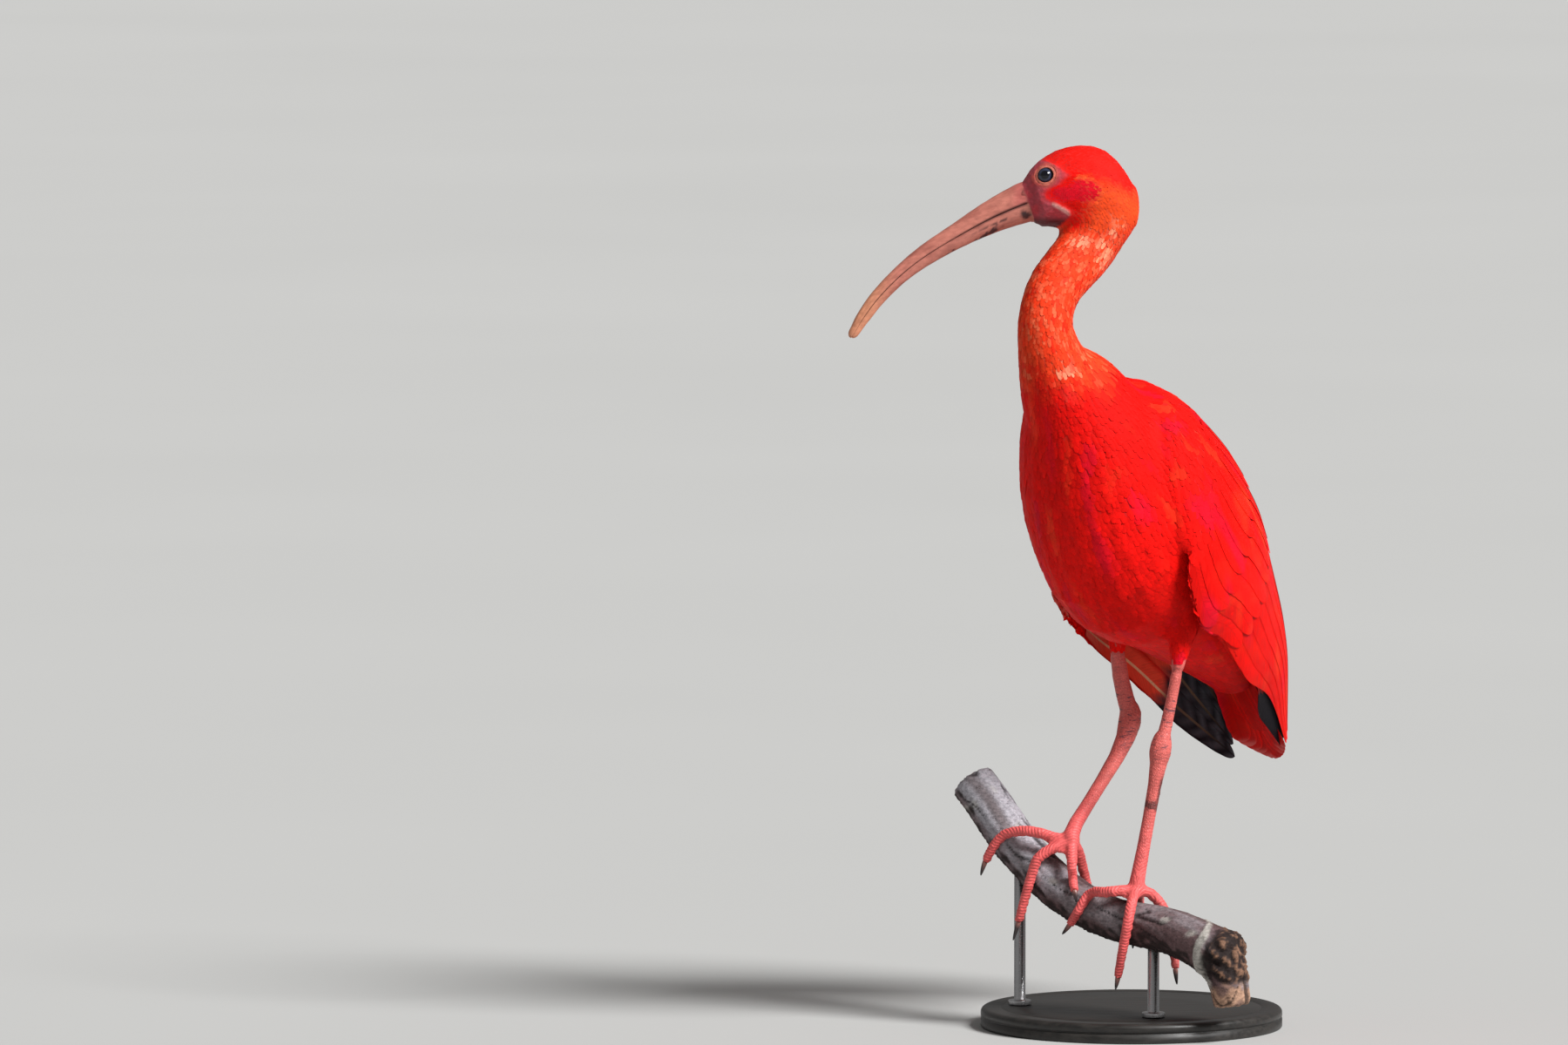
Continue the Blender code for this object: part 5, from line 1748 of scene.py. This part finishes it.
def skin_material():
    """Fine wrinkles on the face, and small scales with dark creases on the legs."""
    shader = Shader("skin", {"Specular IOR Level": 0.35, "Subsurface Weight": 0.0})
    face, legs, hocks, gone = shader.parts("Kind")
    mottle = shader.noise(1.6)
    grain = shader.cells(0.55)
    wrinkle = shader.noise(0.5, shader.place((1, 1, 2.5)), 3.0)
    scales = shader.cells(1.25, shader.place((1, 1, 0.8)))
    bands = shader.math("ABSOLUTE", shader.math("SINE", shader.times(gone, GONE_SCALE * math.pi / SCUTE)))
    creases = shader.noise(2.6, shader.place((0.35, 0.35, 1.5)), 4.0, 0.6)
    dark = shader.times(shader.between(creases, 0.56, 0.66), hocks)
    up_leg = shader.between(gone, *TOES_END, 0.25, 1.0)
    plates = shader.times(shader.between(scales, 0.0, 0.22), up_leg)
    leg_height = shader.times(bands, shader.between(gone, *TOES_END, 1.2, 0.5), plates)
    leg_height = shader.math("SUBTRACT", leg_height, dark)
    face_height = shader.times(wrinkle, 0.7, shader.between(grain, 0.0, 0.2))
    shader.bump(shader.times(leg_height, legs, shader.times(face_height, face)), 0.14)
    colour = shader.painted(mottle, 0.25, 0.75, 0.84, 1.12)
    groove = shader.times(shader.times(shader.between(scales, 0.12, 0.0), shader.times(legs, 0.35)), up_leg)
    colour = shader.blend(groove, colour, (0.30, 0.032, 0.038))
    groove = shader.times(shader.between(bands, 0.35, 0.0), shader.times(legs, 0.4))
    colour = shader.blend(groove, colour, (0.34, 0.036, 0.040))
    colour = shader.blend(shader.times(dark, 0.85), colour, (0.11, 0.045, 0.06))
    bare = shader.math("MINIMUM", shader.math("ADD", face, legs), 1.0)
    rough = shader.between(mottle, 0.3, 0.7, 0.92, 1.06)
    return shader.done(colour, shader.math("SUBTRACT", rough, shader.times(bare, 0.5)))


def bill_material():
    """Satin horn with fine lines along it."""
    shader = Shader("bill", {"Specular IOR Level": 0.45})
    lines = shader.noise(1.0, shader.place((0.10, 1.2, 0.5)), 4.0)
    specks = shader.noise(0.9, None, 2.0)
    colour = shader.painted(lines, 0.3, 0.7, 0.88, 1.1)
    colour = shader.blend(shader.between(specks, 0.62, 0.75, 0.0, 0.35), colour, (0.20, 0.07, 0.055))
    shader.bump(shader.math("ADD", lines, specks), 0.05)
    return shader.done(colour, shader.between(lines, 0.3, 0.7, 0.34, 0.48))


def claw_material():
    shader = Shader("claw", {"Specular IOR Level": 0.5})
    lines = shader.noise(0.7, shader.place((1, 1, 0.25)), 3.0)
    shader.bump(lines, 0.05)
    return shader.done(shader.painted(lines, 0.3, 0.7, 0.8, 1.2), 0.35)


def eye_material():
    shader = Shader("eye", {"Specular IOR Level": 0.1, "Coat Weight": 0.6, "Coat Roughness": 0.02})
    fibres = shader.noise(0.35, None, 4.0)
    return shader.done(shader.painted(fibres, 0.3, 0.7, 0.75, 1.3), 0.12)


def bark_material():
    """Weathered bark with fine fibres and pits."""
    shader = Shader("bark", {"Specular IOR Level": 0.25})
    fibres = shader.noise(1.1, shader.place((0.45, 0.45, 0.7)), 6.0, 0.65)
    pits = shader.cells(1.7)
    fleck = shader.noise(3.2, None, 5.0, 0.7)
    colour = shader.painted(fibres, 0.25, 0.75, 0.62, 1.35)
    colour = shader.blend(shader.between(fleck, 0.60, 0.68, 0.0, 0.55), colour, (0.035, 0.022, 0.022))
    shader.bump(shader.times(shader.between(pits, 0.0, 0.15), 0.08, fibres), 0.5)
    return shader.done(colour, shader.between(fleck, 0.3, 0.7, 0.72, 0.9))


def lacquer_material():
    """Black lacquer over a faint wood grain."""
    shader = Shader("lacquer", {"Specular IOR Level": 0.4, "Coat Weight": 0.15, "Coat Roughness": 0.3})
    grain = shader.noise(3.0, shader.place((0.12, 1.0, 1.0)), 5.0)
    colour = shader.blend(shader.between(grain, 0.3, 0.7), (0.012, 0.011, 0.010), (0.030, 0.026, 0.023))
    shader.bump(grain, 0.05)
    return shader.done(colour, shader.between(grain, 0.3, 0.7, 0.42, 0.54))


def steel_material():
    """Steel brushed round the rods."""
    shader = Shader("steel", {"Metallic": 1.0})
    lines = shader.noise(0.5, shader.place((0.1, 0.1, 3.0)), 3.0)
    shader.bump(lines, 0.02)
    colour = shader.blend(lines, (0.46, 0.46, 0.47), (0.64, 0.64, 0.65))
    return shader.done(colour, shader.between(lines, 0.3, 0.7, 0.24, 0.38))


def floor_material():
    shader = Shader("floor", {"Specular IOR Level": 0.2})
    drift = shader.noise(900.0, None, 2.0)
    return shader.done(shader.blend(drift, (0.47, 0.47, 0.46), (0.50, 0.50, 0.49)), 0.85)


MATERIALS = {
    "feather": feather_material("feather", 0.45, 0.52, 0.05),
    "blade": feather_material("long_feather", 0.60, 0.44, 0.06),
    "skin": skin_material(),
    "bill": bill_material(),
    "claw": claw_material(),
    "eye": eye_material(),
    "bark": bark_material(),
    "lacquer": lacquer_material(),
    "steel": steel_material(),
}


# Floor, light and camera

FLOOR_HALF = 40.0
CAMERA_DISTANCE = 9.0
CAMERA_RISE = math.radians(5)
CAMERA_TARGET = Vector((-0.212, 0.0, 0.3086))
FRAME_WIDTH = 1800 * 0.53 * MM  # what the picture spans at the bird
SENSOR = 36.0
KEY_TURN, KEY_RISE = math.radians(54), math.radians(42)
KEY_STRENGTH, FILL_STRENGTH, SKY_STRENGTH = 5.0, 0.05, 0.21


def sun(name, turn, rise, strength, softness):
    """A far light; turn is from the camera's side towards the picture's right."""
    towards = Vector((math.sin(turn) * math.cos(rise), -math.cos(turn) * math.cos(rise), math.sin(rise)))
    light = add_object(name, bpy.data.lights.new(name, "SUN"))
    light.data.energy = strength
    light.data.angle = math.radians(softness)
    light.rotation_euler = (-towards).to_track_quat("-Z", "Y").to_euler()


def stage():
    mesh = bpy.data.meshes.new("floor")
    corners = [(FLOOR_HALF * x, FLOOR_HALF * y, 0) for x, y in ((-1, -1), (1, -1), (1, 1), (-1, 1))]
    mesh.from_pydata(corners, [], [(0, 1, 2, 3)])
    mesh.materials.append(floor_material())
    add_object("floor", mesh)
    world = bpy.data.worlds.new("studio")
    world.use_nodes = True
    background = world.node_tree.nodes["Background"]
    background.inputs["Color"].default_value = (1.0, 0.99, 0.98, 1.0)
    background.inputs["Strength"].default_value = SKY_STRENGTH
    bpy.context.scene.world = world
    sun("key", KEY_TURN, KEY_RISE, KEY_STRENGTH, 22)
    sun("fill", math.radians(-60), math.radians(25), FILL_STRENGTH, 60)
    bpy.context.scene.view_settings.view_transform = "Standard"


def camera():
    way = Vector((0, math.cos(CAMERA_RISE), -math.sin(CAMERA_RISE)))
    eye = add_object("camera", bpy.data.cameras.new("camera"))
    eye.location = CAMERA_TARGET - way * CAMERA_DISTANCE
    eye.rotation_euler = way.to_track_quat("-Z", "Y").to_euler()
    eye.data.sensor_width = SENSOR
    eye.data.lens = SENSOR * CAMERA_DISTANCE / FRAME_WIDTH
    eye.data.clip_end = 200
    bpy.context.scene.camera = eye


# Everything together

# Pieces of the coat: name, region, and whether each side has its own.
COAT_PIECES = [
    ("coat_head", "head", False),
    ("coat_neck", "neck", False),
    ("coat_trunk", "trunk", True),
    ("coat_wing", "wing", True),
    ("coat_thighs", "thigh", False),
]


def unwrap_skin(mesh):
    """An unwrap of the skin's own shape, and the place on it of each vertex."""
    piece = add_object("unwrap", mesh)
    bpy.context.view_layer.objects.active = piece
    piece.select_set(True)
    mesh.uv_layers.new(name="OFBake")
    bpy.ops.object.mode_set(mode="EDIT")
    bpy.ops.mesh.select_all(action="SELECT")
    bpy.ops.uv.smart_project(angle_limit=math.radians(66), island_margin=0.004)
    bpy.ops.object.mode_set(mode="OBJECT")
    bpy.data.objects.remove(piece)
    loops = np.empty(len(mesh.loops) * 2, np.float32)
    mesh.uv_layers["OFBake"].data.foreach_get("uv", loops)
    vertex = np.empty(len(mesh.loops), np.int32)
    mesh.loops.foreach_get("vertex_index", vertex)
    places = np.zeros((len(mesh.vertices), 2))
    places[vertex] = loops.reshape(-1, 2)
    return places


def build_bird():
    even = build_skin_shape()
    comb(even)
    plan_coat(even)
    even.face_flow = unit(even.flow[even.faces].mean(1))
    even.face_normals = unit(even.normals[even.faces].mean(1))
    roots = scatter(even)
    leaves = lay_leaves(even, roots, LEAF_RINGS)
    leaves.colours = leaf_colours(leaves, even)

    skin = detail_skin(even)
    mesh = new_mesh("bird_skin", skin.points, skin.faces)
    unwrap = unwrap_skin(mesh)
    colour, kind = paint_skin(skin)
    add_paint(mesh, "Paint", colour)
    add_paint(mesh, "Kind", kind)
    add_piece(mesh, MATERIALS["skin"], "bare_skin", skin.flesh_only)
    leaves.unwrap = unwrap[nearest_index(even.points[roots], skin.points)]

    left = on_left(even.points[roots])
    for name, part, sided in COAT_PIECES:
        for side in ("left", "right") if sided else ("",):
            chosen = in_region(even, part)[roots] & ((left == (side == "left")) | (not sided))
            nodes = [node for node in skin.flesh_only if region_of(node) == part]
            nodes = [node for node in nodes if part != "wing" or node.endswith(side)]
            leaf_piece(f"{name}_{side}".strip("_"), leaves, chosen, nodes)

    for side in WING_EDGES:
        rows = joined_blades([wing_blades(side, name) for name in WING_ROWS])
        blade_piece(f"wing_feathers_{side}", rows, "plumage", [f"wing_{side}"])
        blade_piece(f"primaries_{side}", primaries(side), "black_tips", [f"wing_tip_{side}"])
    tail = joined_blades([tail_blades(name) for name in TAIL_ROWS])
    blade_piece("tail_feathers", tail, "plumage", ["tail"])
    for name in BILL_TIPS:
        mandible(name)
    eyeball(1, "eye_left")
    eyeball(-1, "eye_right")
    for node in sorted(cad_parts):
        if node.startswith("claw_"):
            claw(node)


camera()
build_bird()
branch()
stand()
stage()
